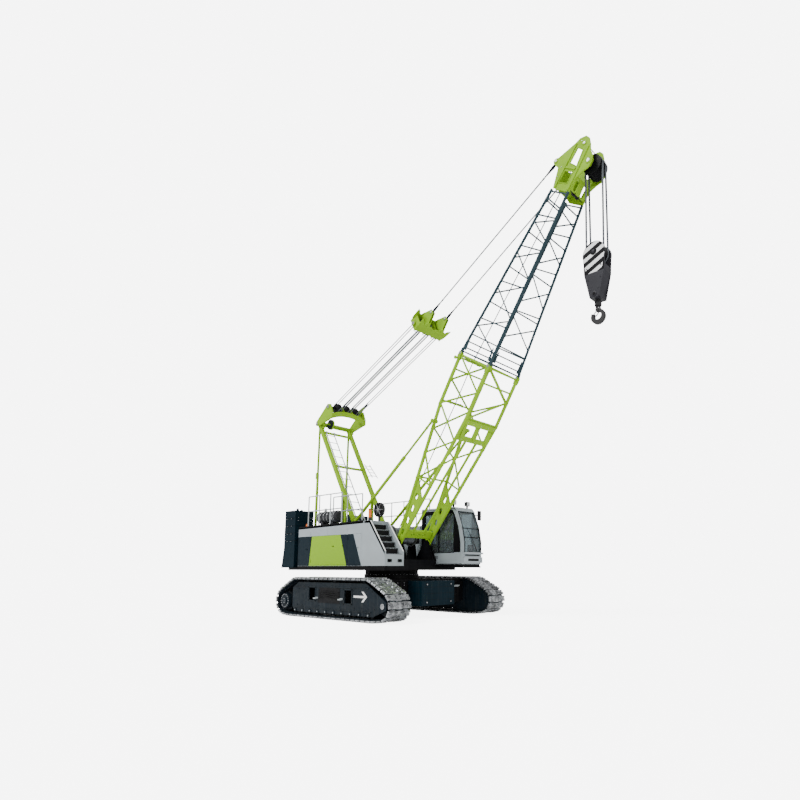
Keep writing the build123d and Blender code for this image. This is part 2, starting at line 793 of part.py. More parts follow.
# Counterweight stacks: grooves between the slabs, a flare below and lifting lugs on top
stack_outline = (
    (STACK_REAR, SHELF_TOP),
    (STACK_FRONT, SHELF_TOP),
    (STACK_FRONT, STACK_TOP),
    (STACK_REAR + STACK_FLARE + STACK_BATTER, STACK_TOP),
    (STACK_REAR + STACK_FLARE, STACK_FLARE_TOP),
)
stack_width = STACK_OUTER - STACK_INNER
stack_middle = (STACK_OUTER + STACK_INNER) / 2
for side, sign in sides:
    with BuildPart() as stack:
        add(slab(stack_outline, stack_width, side_plane(sign * stack_middle)))
        for index in range(1, SLABS):
            seam = STACK_FLARE_TOP + index * (STACK_TOP - STACK_FLARE_TOP) / SLABS
            height = span(seam, SEAM_HEIGHT)
            for step in (-1, 1):
                edge = sign * stack_middle + step * stack_width / 2
                reach = (STACK_REAR, STACK_FRONT + RUNNING_GAP)
                add(block(reach, span(edge, 2 * SEAM_DEPTH), height), mode=Mode.SUBTRACT)
            reach = (STACK_FRONT - SEAM_DEPTH, STACK_FRONT + RUNNING_GAP)
            add(block(reach, span(sign * stack_middle, stack_width), height), mode=Mode.SUBTRACT)
        for share in (1 / 4, 3 / 4):
            x = STACK_REAR + STACK_FLARE + share * (STACK_FRONT - STACK_REAR - STACK_FLARE)
            y = sign * (STACK_INNER + share * stack_width)
            add(block(span(x, STACK_LUG[0]), span(y, STACK_LUG[1]), (STACK_TOP, STACK_TOP + STACK_LUG[2])))
    write(stack.part, f"counterweight_{side}")

# Cab: rounded shell with a ledge under the windscreen and a bumper below it
cab_middle = half_width - CAB_WIDTH / 2
cab_profile = (
    (CAB_REAR, CAB_BOTTOM),
    (CAB_FRONT - 40, CAB_BOTTOM),
    (CAB_FRONT, CAB_BOTTOM + 240),
    (CAB_FRONT, 2500),
    (CAB_FRONT - 110, 3050),
    (CAB_FRONT - 330, 3600),
    (CAB_FRONT - 440, CAB_ROOF),
    (CAB_REAR, CAB_ROOF),
)
glass_line = ((CAB_FRONT, SILL), *cab_profile[3:5], (CAB_FRONT - SCREEN_SETBACK, SCREEN_TOP))
pane_width = CAB_WIDTH - 2 * PILLAR
screen = span(cab_middle, pane_width)
inner_side = span(cab_middle - CAB_WIDTH / 2, 2 * (CAB_WALL + RUNNING_GAP))
outer_side = span(half_width, 2 * (CAB_WALL + RUNNING_GAP))
door_gap = DOOR_GAP
with BuildPart() as cab_shell:
    with BuildSketch(side_plane(cab_middle)):
        with BuildLine():
            FilletPolyline(*cab_profile, radius=CAB_CORNER, close=True)
        make_face()
    extrude(amount=CAB_WIDTH / 2, both=True)
    for rise, reach in ((LEDGE, LEDGE_REACH), (BUMPER, BUMPER_REACH)):
        add(block((CAB_FRONT - CAB_WALL, CAB_FRONT + reach), span(cab_middle, CAB_WIDTH), rise))
    with BuildSketch(side_plane(cab_middle)):
        with BuildLine():
            Polyline(*cab_profile, close=True)
        make_face()
        offset(amount=-CAB_WALL, mode=Mode.REPLACE)
    extrude(amount=CAB_WIDTH / 2 - CAB_WALL, both=True, mode=Mode.SUBTRACT)
    opening = (CAB_FRONT - CAB_BROW, CAB_FRONT + LEDGE_REACH)
    add(block(opening, screen, (SILL, SCREEN_TOP)), mode=Mode.SUBTRACT)
    add(block(span(CAB_REAR, 2 * (CAB_WALL + RUNNING_GAP)), screen, REAR_PANE), mode=Mode.SUBTRACT)
    add(block(SIDE_PANE, inner_side, (SILL, REAR_PANE[1])), mode=Mode.SUBTRACT)
    opening = (CAB_DOOR[0] - door_gap, CAB_DOOR[1] + door_gap)
    add(block(opening, outer_side, (CAB_DOOR[2] - door_gap, CAB_DOOR[3] + door_gap)), mode=Mode.SUBTRACT)
write(cab_shell.part, "cab_shell")

with BuildPart() as cab_glass:
    pane_y = cab_middle - (CAB_WIDTH - CAB_WALL) / 2
    add(block(SIDE_PANE, span(pane_y, GLASS), (SILL, REAR_PANE[1])))
    add(block(span(CAB_REAR + CAB_WALL / 2, GLASS), screen, REAR_PANE))
    outer = [(x - GLASS_INSET, z) for x, z in glass_line]
    inner = [(x - GLASS_INSET - GLASS, z) for x, z in reversed(glass_line)]
    add(slab(outer + inner, pane_width, side_plane(cab_middle)))
write(cab_glass.part, "cab_glass")

with BuildPart() as cab_door:
    add(block(CAB_DOOR[:2], (half_width - CAB_WALL, half_width), CAB_DOOR[2:]))
    pane = (CAB_DOOR[0] + PILLAR, CAB_DOOR[1] - PILLAR)
    add(block(pane, outer_side, (SILL, CAB_DOOR[3] - PILLAR)), mode=Mode.SUBTRACT)
write(cab_door.part, "cab_door")

with BuildPart() as seat:
    across = span(cab_middle, SEAT_WIDTH)
    add(block(SEAT_BASE[0], across, (CAB_BOTTOM + CAB_WALL, SEAT_BASE[1])))
    add(block(SEAT_BACK[0], across, SEAT_BACK[1]))
write(seat.part, "seat")


def chord_at(along):
    """Back level, front level and half width of the boom's chords at a distance from the foot."""
    rows = (
        (0, FOOT_LEVEL, -FOOT_LEVEL, FOOT_HALF),
        (TAPER_END, SECTION_DEPTH, -SECTION_DEPTH, SECTION_HALF),
        (BASE_LENGTH, SECTION_DEPTH, -SECTION_DEPTH, SECTION_HALF),
        (TIP_END, TIP_BACK, TIP_FRONT, TIP_HALF),
    )
    for low, high in zip(rows, rows[1:]):
        if along <= high[0]:
            share = (along - low[0]) / (high[0] - low[0])
            return [a + share * (b - a) for a, b in zip(low[1:], high[1:])]
    return list(rows[-1][1:])


def back(along, sign, inset=0):
    """A point on a back chord, moved inwards by inset."""
    above, _, half = chord_at(along)
    return boom_point(along, above, sign * (half - inset))


def front(along, sign, inset=0):
    """A point on a front chord, moved inwards by inset."""
    _, below, half = chord_at(along)
    return boom_point(along, below, sign * (half - inset))


def stations(low, high, bays):
    """Evenly spaced lacing points between two distances."""
    return [low + index * (high - low) / bays for index in range(bays + 1)]


def side_panel(points, ends, sign):
    """Two chords and the zigzag between them, on one side of the boom."""
    bars = []
    for low, high in zip(ends, ends[1:]):
        bars.append(bar(back(low, sign), back(high, sign), CHORD, 8))
        bars.append(bar(front(low, sign), front(high, sign), CHORD, 8))
    for index, (low, high) in enumerate(zip(points, points[1:])):
        first, second = (back, front) if index % 2 else (front, back)
        bars.append(bar(first(low, sign), second(high, sign), LACE))
    for station in (points[0], points[-1]):
        bars.append(bar(back(station, sign), front(station, sign), LACE))
    return bars


def cross_lacing(points, chord, ties=()):
    """The zigzag between two chords of one face, and straight ties at its ends and where named."""
    inset = CHORD * 0.9
    bars = []
    for index, (low, high) in enumerate(zip(points, points[1:])):
        sign = 1 if index % 2 else -1
        bars.append(bar(chord(low, sign, inset), chord(high, -sign, inset), LACE))
    for station in (points[0], *ties, points[-1]):
        bars.append(bar(chord(station, -1, inset), chord(station, 1, inset), LACE))
    return bars


# Boom foot section: two side panels with slotted foot plates, joined by lacing and a portal
foot_plate = (
    (-FOOT_BOSS, -70),
    (0, -FOOT_BOSS),
    (1700, -255),
    (2050, 100),
    (2300, 330),
    (0, FOOT_BOSS),
    (-FOOT_BOSS, 70),
)
slot_length, slot_width, slot_turn = FOOT_SLOT
foot_slots = ((420, 0), (850, 10), (1290, 20), (1720, 60))
base_end = BASE_LENGTH - END_SETBACK
base_points = stations(FIRST_LACE, TAPER_END, FOOT_BAYS) + stations(TAPER_END, base_end, TOP_BAYS)[1:]
boss_low = FOOT_HALF
boss_high = BACKSTOP_SIDE - ROD_RADIUS - BACKSTOP_CLEAR
base_panels = {}
for side, sign in sides:
    with BuildPart() as boom_base_side:
        add(side_panel(base_points, (200, TAPER_END, BASE_LENGTH - JOINT_GAP), sign))
        add(slab(foot_plate, FOOT_PLATE, boom_plane(sign * FOOT_HALF)))
        with BuildSketch(boom_plane(sign * FOOT_HALF)):
            Circle(FOOT_PIN + PIN_GAP)
            with Locations(*foot_slots):
                SlotCenterToCenter(slot_length, slot_width, rotation=slot_turn)
        extrude(amount=FOOT_PLATE, both=True, mode=Mode.SUBTRACT)
        boss = boom_point(BACKSTOP_ALONG, BACKSTOP_ABOVE, sign * (boss_low + boss_high) / 2)
        add(disc(BACKSTOP_BOSS, boss_high - boss_low, at(boss.X, boss.Y, boss.Z)))
    base_panels[side] = boom_base_side.part
    write(boom_base_side.part, f"boom_base_{side}")

with BuildPart() as boom_base_lacing:
    top_tie = (base_end - JOINT_LUG[1],)
    add(cross_lacing(base_points, back, top_tie))
    add(cross_lacing(base_points[FOOT_BAYS:], front, top_tie))
    add(list(base_panels.values()), mode=Mode.SUBTRACT)
write(boom_base_lacing.part, "boom_base_lacing")

# The portal frames two windows in the front face and is held by two struts from the foot's cross box
portal_low, portal_high, portal_bar = PORTAL
with BuildPart() as boom_portal:
    for along in (portal_low, portal_high - portal_bar):
        level = chord_at(along + portal_bar / 2)
        run = (along, along + portal_bar)
        add(plate(run, span(level[1], PORTAL_POST), 2 * level[2], boom_plane(0)))
    level = chord_at((portal_low + portal_high) / 2)
    post_y = level[2] - PORTAL_POST
    for y in (-post_y, 0, post_y):
        run = (portal_low + portal_bar / 2, portal_high - portal_bar / 2)
        add(plate(run, span(level[1], PORTAL_POST - 20), PORTAL_POST, boom_plane(y)))
    box_low, box_high, box_half = FOOT_BOX
    strut_top = portal_low + portal_bar / 2
    for y in (-STRUT_Y, STRUT_Y):
        start = boom_point(box_high - 2 * RUNNING_GAP, -box_half / 2, y)
        add(bar(start, boom_point(strut_top, chord_at(strut_top)[1], y), STRUT_RADIUS))
    box_width = 2 * (FOOT_HALF - FOOT_PLATE / 2)
    add(plate((box_low, box_high), (-box_half, box_half), box_width, boom_plane(0)))
    with BuildSketch(Plane(origin=boom_point(0, 0, 0), x_dir=boom_dir, z_dir=boom_up)):
        with Locations(*[((box_low + box_high) / 2, y) for y in (-STRUT_Y, 0, STRUT_Y)]):
            SlotCenterToCenter(*BOX_SLOT, rotation=90)
    extrude(amount=2 * box_half, both=True, mode=Mode.SUBTRACT)
    add(list(base_panels.values()), mode=Mode.SUBTRACT)
write(boom_portal.part, "boom_portal")

# Boom tip section, with pin lugs where it joins the foot section
tip_start = BASE_LENGTH + END_SETBACK
tip_points = stations(tip_start, TIP_END - CHORD, TIP_BAYS)
lug_depth, lug_length = JOINT_LUG
tip_panels = {}
for side, sign in sides:
    with BuildPart() as boom_tip_side:
        add(side_panel(tip_points, (BASE_LENGTH + JOINT_GAP, TIP_END), sign))
        for chord in (back, front):
            low = chord(BASE_LENGTH, sign)
            add(bar(low - boom_dir * JOINT_GAP, low + boom_dir * JOINT_SLEEVE, CHORD + 12, 4))
        for step, chord in ((1, back), (-1, front)):
            low = chord(tip_start, sign)
            high = chord(tip_start + lug_length, sign)
            add(bar(low - boom_up * step * lug_depth / 2, high - boom_up * step * lug_depth / 2, LACE))
        add(base_panels[side], mode=Mode.SUBTRACT)
    tip_panels[side] = boom_tip_side.part
    write(boom_tip_side.part, f"boom_tip_{side}")
with BuildPart() as boom_tip_lacing:
    add(cross_lacing(tip_points, back))
    add(cross_lacing(tip_points, front))
    add(list(tip_panels.values()), mode=Mode.SUBTRACT)
write(boom_tip_lacing.part, "boom_tip_lacing")

# Boom head: two windowed side plates joined by cross plates, with lobes for the pendants and the sheaves
head_outline = (
    (0, TIP_FRONT - CHORD),
    (400, -560),
    (600, SHEAVE_ABOVE + 40),
    (720, SHEAVE_ABOVE - 90),
    (SHEAVE_REACH, SHEAVE_ABOVE - HEAD_LOBE),
    (1050, SHEAVE_ABOVE - 70),
    (1180, -660),
    (JIB_PIN_REACH + 20, -560),
    (HEAD_LENGTH - 40, -440),
    (HEAD_LENGTH, -300),
    (1440, -120),
    (1290, -20),
    (PENDANT_REACH + PENDANT_LUG, PENDANT_ABOVE - 40),
    (PENDANT_REACH + 60, PENDANT_ABOVE + 60),
    (PENDANT_REACH - 20, PENDANT_ABOVE + 90),
    (PENDANT_REACH - 90, PENDANT_ABOVE + 40),
    (580, 230),
    (60, 110),
    (0, TIP_BACK + CHORD),
)
upper_window = ((760, -130), (1190, -180), (1150, -400), (700, -420))
lower_window = ((190, -20), (530, -70), (550, -380), (210, -340))
# Cross plates: reach from and to, level
head_plates = ((HEAD_WINDOW_SETBACK, 490, -500), (40, 620, 20), (1220, 1300, -250))


def head_plane(y):
    """The boom's side view with its origin at the end of the tip section."""
    return boom_plane(y, TIP_END)


pendant_y = TIP_HALF - HEAD_PLATE / 2 - FORK_GAP - EYE_WIDTH / 2
head_inner = 2 * TIP_HALF - HEAD_PLATE
head_span = TIP_HALF + 2 * HEAD_PLATE
with BuildPart() as boom_head:
    for sign in (-1, 1):
        add(slab(head_outline, HEAD_PLATE, head_plane(sign * TIP_HALF)))
    for window in (upper_window, lower_window):
        add(slab(window, 2 * head_span, head_plane(0)), mode=Mode.SUBTRACT)
    for low, high, level in head_plates:
        add(plate((low, high), span(level, FRONT_PLATE), head_inner, head_plane(0)))
    with BuildSketch(head_plane(0)):
        with Locations((SHEAVE_REACH, SHEAVE_ABOVE)):
            Circle(SHEAVE_SHAFT + PIN_GAP)
        with Locations((JIB_PIN_REACH, JIB_PIN_ABOVE)):
            Circle(JIB_PIN_HOLE)
    extrude(amount=head_span, both=True, mode=Mode.SUBTRACT)
    with BuildSketch(Plane(origin=boom_point(TIP_END, 0, 0), x_dir=boom_dir, z_dir=boom_up)):
        with Locations(*[(FRONT_SLOT_REACH, y) for y in (-TIP_HALF / 2, TIP_HALF / 2)]):
            SlotCenterToCenter(FRONT_SLOT, 2 * FRONT_HOLE)
    extrude(amount=-HEAD_LENGTH, mode=Mode.SUBTRACT)
    for sign in (-1, 1):
        low = pendant_y - EYE_WIDTH / 2 - FORK_GAP
        high = TIP_HALF + HEAD_PLATE
        pin = boom_point(TIP_END + PENDANT_REACH, PENDANT_ABOVE, sign * (low + high) / 2)
        add(disc(PENDANT_PIN, high - low, at(pin.X, pin.Y, pin.Z)))
    add(list(tip_panels.values()), mode=Mode.SUBTRACT)
write(boom_head.part, "boom_head")


def sheave_set(axis, radius, width, ys, shaft, shaft_length):
    """Grooved sheaves side by side on one shaft."""
    with BuildPart() as sheaves:
        add(disc(shaft, shaft_length, at(axis.X, 0, axis.Z)))
        for y in ys:
            add(disc(radius, width, at(axis.X, y, axis.Z)))
            with BuildSketch(at(axis.X, y, axis.Z)):
                Circle(radius + RUNNING_GAP)
                Circle(radius - 2 * ROPE, mode=Mode.SUBTRACT)
            extrude(amount=width / 2 - SHEAVE_RIM, both=True, mode=Mode.SUBTRACT)
    return sheaves.part


# Sheaves on the head shaft
head_axis = boom_point(TIP_END + SHEAVE_REACH, SHEAVE_ABOVE, 0)
head_ys = [(index - (HEAD_SHEAVES - 1) / 2) * SHEAVE_PITCH for index in range(HEAD_SHEAVES)]
head_shaft = 2 * TIP_HALF + HEAD_PLATE
write(sheave_set(head_axis, SHEAVE_RADIUS, SHEAVE_WIDTH, head_ys, SHEAVE_SHAFT, head_shaft), "head_sheaves")

# Hoist rope: the upper falls leave the head's sheaves, the lower falls stand beside them on the block
block_axis = head_axis - Vector(0, 0, HOOK_DROP)
fall_reach = SHEAVE_RADIUS - ROPE + ROPE_LIFT
fall_xs = (head_axis.X - fall_reach, head_axis.X + fall_reach)
upper_rope = UPPER_ROPE_SHARE * HOOK_DROP
lower_rope = LOWER_ROPE_SHARE * HOOK_DROP
with BuildPart() as hoist_falls:
    for x in fall_xs:
        for y in (-SHEAVE_PITCH, SHEAVE_PITCH):
            add(bar((x, y, head_axis.Z), (x, y, head_axis.Z - upper_rope), ROPE))
write(hoist_falls.part, "hoist_falls")

block_ys = (-SHEAVE_PITCH - BLOCK_SHIFT, SHEAVE_PITCH + BLOCK_SHIFT)
with BuildPart() as block_falls:
    for x in fall_xs:
        for y in block_ys:
            add(bar((x, y, block_axis.Z), (x, y, block_axis.Z + lower_rope), ROPE))
write(block_falls.part, "block_falls")
block_shaft = 2 * BLOCK_CHEEK_Y + CHEEK
block_sheaves = sheave_set(block_axis, SHEAVE_RADIUS, SHEAVE_WIDTH, block_ys, BLOCK_SHAFT, block_shaft)
write(block_sheaves, "block_sheaves")

# Hook block: two cheeks with arched tops that narrow to the hook's trunnion
with BuildPart() as block_cheeks:
    for y in (-BLOCK_CHEEK_Y, BLOCK_CHEEK_Y):
        with BuildSketch(at(block_axis.X, y, block_axis.Z)):
            with BuildLine():
                ThreePointArc((-BLOCK_HALF, BLOCK_SHOULDER), (0, BLOCK_CROWN), (BLOCK_HALF, BLOCK_SHOULDER))
                Polyline(
                    (BLOCK_HALF, BLOCK_SHOULDER),
                    (BLOCK_WAIST_HALF, BLOCK_WAIST),
                    (BLOCK_FOOT_HALF, BLOCK_FOOT),
                    (-BLOCK_FOOT_HALF, BLOCK_FOOT),
                    (-BLOCK_WAIST_HALF, BLOCK_WAIST),
                    (-BLOCK_HALF, BLOCK_SHOULDER),
                )
            make_face()
        extrude(amount=CHEEK / 2, both=True)
    trunnion = span(block_axis.X, 2 * BLOCK_FOOT_HALF)
    rise = (block_axis.Z + BLOCK_FOOT, block_axis.Z + BLOCK_FOOT + BLOCK_FOOT_HALF)
    add(block(trunnion, span(0, 2 * BLOCK_CHEEK_Y - CHEEK), rise))
    block_shaft_plane = at(block_axis.X, 0, block_axis.Z)
    add(disc(BLOCK_SHAFT + PIN_GAP, 3 * BLOCK_CHEEK_Y, block_shaft_plane), mode=Mode.SUBTRACT)
write(block_cheeks.part, "block_cheeks")

hook_low = block_axis.Z + BLOCK_FOOT - HOOK_DEPTH
with BuildPart() as hook:
    with BuildSketch(at(block_axis.X, 0, hook_low)):
        with BuildLine():
            bowl = CenterArc((0, HOOK_BOWL), HOOK_BOWL, HOOK_START, HOOK_OPENING)
            throat = CenterArc((0, HOOK_BOWL + HOOK_LIFT), HOOK_THROAT, HOOK_START, HOOK_OPENING - HOOK_LIFT)
            Line(bowl @ 0, throat @ 0)
            Line(bowl @ 1, throat @ 1)
        make_face()
        with Locations((0, HOOK_DEPTH - SHANK / 2)):
            Rectangle(HOOK_THICKNESS, SHANK - 2 * RUNNING_GAP)
    extrude(amount=HOOK_THICKNESS / 2, both=True)
write(hook.part, "hook")


def leg_x(z):
    """Where a front leg's centre line passes a height."""
    return LEG_FOOT_X + (GANTRY_X - LEG_FOOT_X) * (z - LEG_FOOT_Z) / (GANTRY_Z - LEG_FOOT_Z)


# Gantry: front legs with crossbars, raising struts and rear stays
foot_rear, foot_front, crown_front, crown_rear, foot_rise = LEG_FEET
with BuildPart() as gantry_legs:
    for sign in (-1, 1):
        y = sign * GANTRY_SIDE
        add(beam((LEG_FOOT_X, LEG_FOOT_Z), (GANTRY_X, GANTRY_Z), LEG_DEPTH, LEG_WIDTH, y))
        leg_foot = (
            (LEG_FOOT_X - foot_rear, SPINE_TOP),
            (LEG_FOOT_X + foot_front, SPINE_TOP),
            (LEG_FOOT_X + crown_front, LEG_FOOT_Z + foot_rise),
            (LEG_FOOT_X - crown_rear, LEG_FOOT_Z + foot_rise),
        )
        add(slab(leg_foot, LEG_FOOT_WIDTH, side_plane(y)))
        y = sign * (GANTRY_SIDE + BRACKET)
        low = BACKSTOP_Z - 2 * BRACKET_DEPTH
        bracket = (
            (leg_x(low), low),
            (BACKSTOP_X + BRACKET, BACKSTOP_Z - BRACKET_DEPTH),
            (BACKSTOP_X + BRACKET, BACKSTOP_Z + BRACKET_DEPTH),
            (leg_x(BACKSTOP_Z + 3 * BRACKET_DEPTH), BACKSTOP_Z + 3 * BRACKET_DEPTH),
        )
        add(slab(bracket, BRACKET, side_plane(y)))
        inner = GANTRY_SIDE + BRACKET
        outer = BACKSTOP_SIDE + TUBE_RADIUS + BACKSTOP_CLEAR
        add(disc(BACKSTOP_PIN, outer - inner, at(BACKSTOP_X, sign * (inner + outer) / 2, BACKSTOP_Z)))
    for z in CROSSBARS:
        x = leg_x(z)
        add(bar((x, -GANTRY_SIDE, z), (x, GANTRY_SIDE, z), CROSSBAR))
write(gantry_legs.part, "gantry_legs")

with BuildPart() as gantry_struts:
    for sign in (-1, 1):
        low = (STRUT_X, SPINE_TOP)
        high = (STRUT_X, STRUT_TOP)
        add(beam(low, high, STRUT_DEPTH, STRUT_DEPTH, sign * GANTRY_SIDE))
    add(gantry_legs.part, mode=Mode.SUBTRACT)
write(gantry_struts.part, "gantry_struts")

# Rear stays: thick bars below a joint and thin ones above it
stay_share = (STAY_JOINT - BASE_TOP) / (STAY_TOP - BASE_TOP)
stay_joint = (STAY_FOOT_X + stay_share * (GANTRY_X - STAY_FOOT_X), STAY_JOINT)
with BuildPart() as gantry_stays:
    for sign in (-1, 1):
        y = sign * GANTRY_SIDE
        add(beam((STAY_FOOT_X, BASE_TOP), stay_joint, STAY_DEPTHS[0], STAY_WIDTH, y))
        lap = (stay_joint[0], stay_joint[1] - STAY_DEPTHS[0])
        add(beam(lap, (GANTRY_X, STAY_TOP), STAY_DEPTHS[1], STAY_WIDTH, y))
    add(gantry_legs.part, mode=Mode.SUBTRACT)
write(gantry_stays.part, "gantry_stays")

with BuildPart() as counterweight_base:
    reach = (STACK_REAR + BASE_SETBACK, STACK_FRONT)
    add(block(reach, (-STACK_INNER, STACK_INNER), (SPINE_TOP, BASE_TOP)))
    add(gantry_stays.part, mode=Mode.SUBTRACT)
write(counterweight_base.part, "counterweight_base")

# Gantry head: side arms from the legs' pins to the sheave shaft, tied by an arched beam, with a guide sheave
arm_y = GANTRY_SIDE + LEG_WIDTH / 2 + ARM_GAP
arch_x = FALLS_X + FALL_SHEAVE + ARCH_PLATE
arch_end = ARCH_CROWN - ARCH_RISE
arm = (
    (GANTRY_X - 90, GANTRY_Z - 60),
    (GANTRY_X + 90, GANTRY_Z - 90),
    (arch_x + ARCH_PLATE, arch_end - ARCH_DEPTH + 40),
    (arch_x + ARCH_PLATE, arch_end + 40),
    (FALLS_X + 120, FALLS_Z + 90),
    (FALLS_X - 60, FALLS_Z + 120),
    (GANTRY_X - 90, GANTRY_Z + 90),
)
guide_x, guide_z, guide_y = GUIDE
with BuildPart() as gantry_head:
    for sign in (-1, 1):
        add(slab(arm, ARM_PLATE, side_plane(sign * arm_y)))
    add(disc(2 * GUIDE_SHAFT, 2 * arm_y, at(GANTRY_X, 0, GANTRY_Z)))
    with BuildSketch(Plane(origin=(arch_x, 0, arch_end), x_dir=(0, 1, 0), z_dir=(1, 0, 0))):
        with BuildLine():
            ThreePointArc((-arm_y, -ARCH_DEPTH), (0, ARCH_RISE - ARCH_DEPTH), (arm_y, -ARCH_DEPTH))
            Line((arm_y, -ARCH_DEPTH), (arm_y, 0))
            ThreePointArc((arm_y, 0), (0, ARCH_RISE), (-arm_y, 0))
            Line((-arm_y, 0), (-arm_y, -ARCH_DEPTH))
        make_face()
    extrude(amount=ARCH_PLATE / 2, both=True)
    for y in HANGERS:
        hanger = (
            (arch_x, ARCH_CROWN - ARCH_DEPTH),
            (arch_x, ARCH_CROWN - ARCH_PLATE),
            (FALLS_X + FALL_SHAFT, FALLS_Z + 2 * FALL_SHAFT),
            (FALLS_X - 2 * FALL_SHAFT, FALLS_Z + FALL_SHAFT),
            (FALLS_X - 2 * FALL_SHAFT, FALLS_Z - 2 * FALL_SHAFT),
        )
        add(slab(hanger, ARCH_PLATE, side_plane(y)))
    add(gantry_legs.part, mode=Mode.SUBTRACT)
    add(gantry_stays.part, mode=Mode.SUBTRACT)
    add(disc(FALL_SHAFT + PIN_GAP, 2 * arm_y + 2 * ARM_PLATE, at(FALLS_X, 0, FALLS_Z)), mode=Mode.SUBTRACT)
    add(disc(GUIDE_SHAFT, 2 * arm_y, at(guide_x, 0, guide_z)))
    add(disc(GUIDE_RADIUS, GUIDE_WIDTH, at(guide_x, guide_y, guide_z)))
write(gantry_head.part, "gantry_head")
fall_axis = Vector(FALLS_X, 0, FALLS_Z)
fall_shaft = 2 * arm_y + ARM_PLATE
gantry_sheaves = sheave_set(fall_axis, FALL_SHEAVE, FALL_SHEAVE_WIDTH, FALL_GROUPS, FALL_SHAFT, fall_shaft)
write(gantry_sheaves, "gantry_sheaves")

# Bridle: two cover plates with prongs over and under its sheaves, and forks for the pendants' eyes
bridle_axis = Vector(BRIDLE_X, 0, BRIDLE_Z)
bridle_pin = Vector(BRIDLE_PIN_X, 0, BRIDLE_PIN_Z)
fall_dir = (bridle_axis - fall_axis).normalized()
fall_up = Vector(-fall_dir.Z, 0, fall_dir.X)
pin_along = (bridle_pin - bridle_axis).dot(fall_dir)
pin_above = (bridle_pin - bridle_axis).dot(fall_up)


def bridle_plane(y):
    """The side view along the falls, with its origin at the bridle's sheave axis."""
    return Plane(origin=bridle_axis + Vector(0, y, 0), x_dir=fall_dir, z_dir=(0, -1, 0))


half_comb = (
    (240, 0),
    (300, 110),
    (300, pendant_y - 2 * PRONG),
    (430, pendant_y - PRONG),
    (430, pendant_y + PRONG),
    (300, pendant_y + 2 * PRONG),
    (320, BRIDLE_HALF - 2 * PRONG),
    (400, BRIDLE_HALF - PRONG),
    (470, BRIDLE_HALF + PRONG),
    (330, BRIDLE_HALF + PRONG),
    (60, BRIDLE_HALF + PRONG / 2),
    (-60, BRIDLE_HALF - PRONG),
    (-40, 2 * PRONG),
)
comb = list(half_comb) + [(along, -y) for along, y in reversed(half_comb) if y]
cover_level = FALL_SHEAVE + BRIDLE_GAP + BRIDLE_PLATE / 2
with BuildPart() as bridle:
    for level in (-cover_level, cover_level):
        origin = bridle_axis + fall_up * level
        add(slab(comb, BRIDLE_PLATE, Plane(origin=origin, x_dir=fall_dir, z_dir=fall_up)))
    inside = (-cover_level, cover_level)
    for y in (-BRIDLE_HALF + PRONG / 2, HANGERS[0], HANGERS[1], BRIDLE_HALF - PRONG / 2):
        add(plate((-2 * FALL_SHAFT, 240), inside, BRIDLE_PLATE, bridle_plane(y)))
    for sign in (-1, 1):
        for step in (-1, 1):
            y = sign * pendant_y + step * (EYE_WIDTH / 2 + FORK_GAP + FORK_PLATE / 2)
            fork = (
                (240, -cover_level),
                (430, -cover_level),
                (pin_along + EYE, pin_above - EYE),
                (pin_along + EYE, pin_above + EYE),
                (430, cover_level),
                (240, cover_level),
            )
            add(slab(fork, FORK_PLATE, bridle_plane(y)))
        fork_width = EYE_WIDTH + 2 * (FORK_GAP + FORK_PLATE)
        add(disc(BRIDLE_PIN, fork_width, at(bridle_pin.X, sign * pendant_y, bridle_pin.Z)))
    add(disc(FALL_SHAFT + PIN_GAP, 3 * BRIDLE_HALF, at(BRIDLE_X, 0, BRIDLE_Z)), mode=Mode.SUBTRACT)
write(bridle.part, "bridle")
bridle_shaft = 2 * BRIDLE_HALF + 2 * BRIDLE_PLATE
fall_sheave = (FALL_SHEAVE, FALL_SHEAVE_WIDTH, FALL_GROUPS, FALL_SHAFT)
bridle_sheaves = sheave_set(bridle_axis, *fall_sheave, bridle_shaft)
write(bridle_sheaves, "bridle_sheaves")

# Pendants: a long bar between two eyes, with a socket at each end
pendant_top = boom_point(TIP_END + PENDANT_REACH, PENDANT_ABOVE, 0)
pendant_dir = (bridle_pin - pendant_top).normalized()
# Eyes: centre, pin radius, run towards the other eye
eyes = ((pendant_top, PENDANT_PIN, pendant_dir), (bridle_pin, BRIDLE_PIN, -pendant_dir))
with BuildPart() as pendants:
    for sign in (-1, 1):
        across = Vector(0, sign * pendant_y, 0)
        for spot, _, run in eyes:
            eye = at(spot.X, sign * pendant_y, spot.Z)
            add(disc(EYE, EYE_WIDTH, eye))
            add(bar(spot + run * 0.8 * EYE + across, spot + run * SOCKET[1] + across, SOCKET[0]))
        low = pendant_top + pendant_dir * EYE + across
        high = bridle_pin - pendant_dir * EYE + across
        add(bar(low, high, PENDANT_BAR))
        for spot, pin_radius, _ in eyes:
            eye = at(spot.X, sign * pendant_y, spot.Z)
            add(disc(pin_radius + PIN_GAP, 2 * EYE_WIDTH, eye), mode=Mode.SUBTRACT)
write(pendants.part, "pendants")

# Boom hoist falls, in two halves that pass beside each other
fall_ys = [group + shift for group in FALL_GROUPS for shift in (-ROPE_SIDE, ROPE_SIDE)]
with BuildPart() as bridle_falls:
    for y in fall_ys:
        start = bridle_axis + fall_up * (FALL_SHEAVE - ROPE) + Vector(0, y, 0)
        add(bar(start - fall_dir * BRIDLE_FALL[0], start - fall_dir * BRIDLE_FALL[1], ROPE))
write(bridle_falls.part, "bridle_falls")
with BuildPart() as gantry_falls:
    for y in fall_ys:
        start = fall_axis + fall_up * (FALL_SHEAVE - ROPE - GANTRY_FALL_DROP) + Vector(0, y, 0)
        add(bar(start + fall_dir * GANTRY_FALL[0], start + fall_dir * GANTRY_FALL[1], ROPE))
write(gantry_falls.part, "gantry_falls")

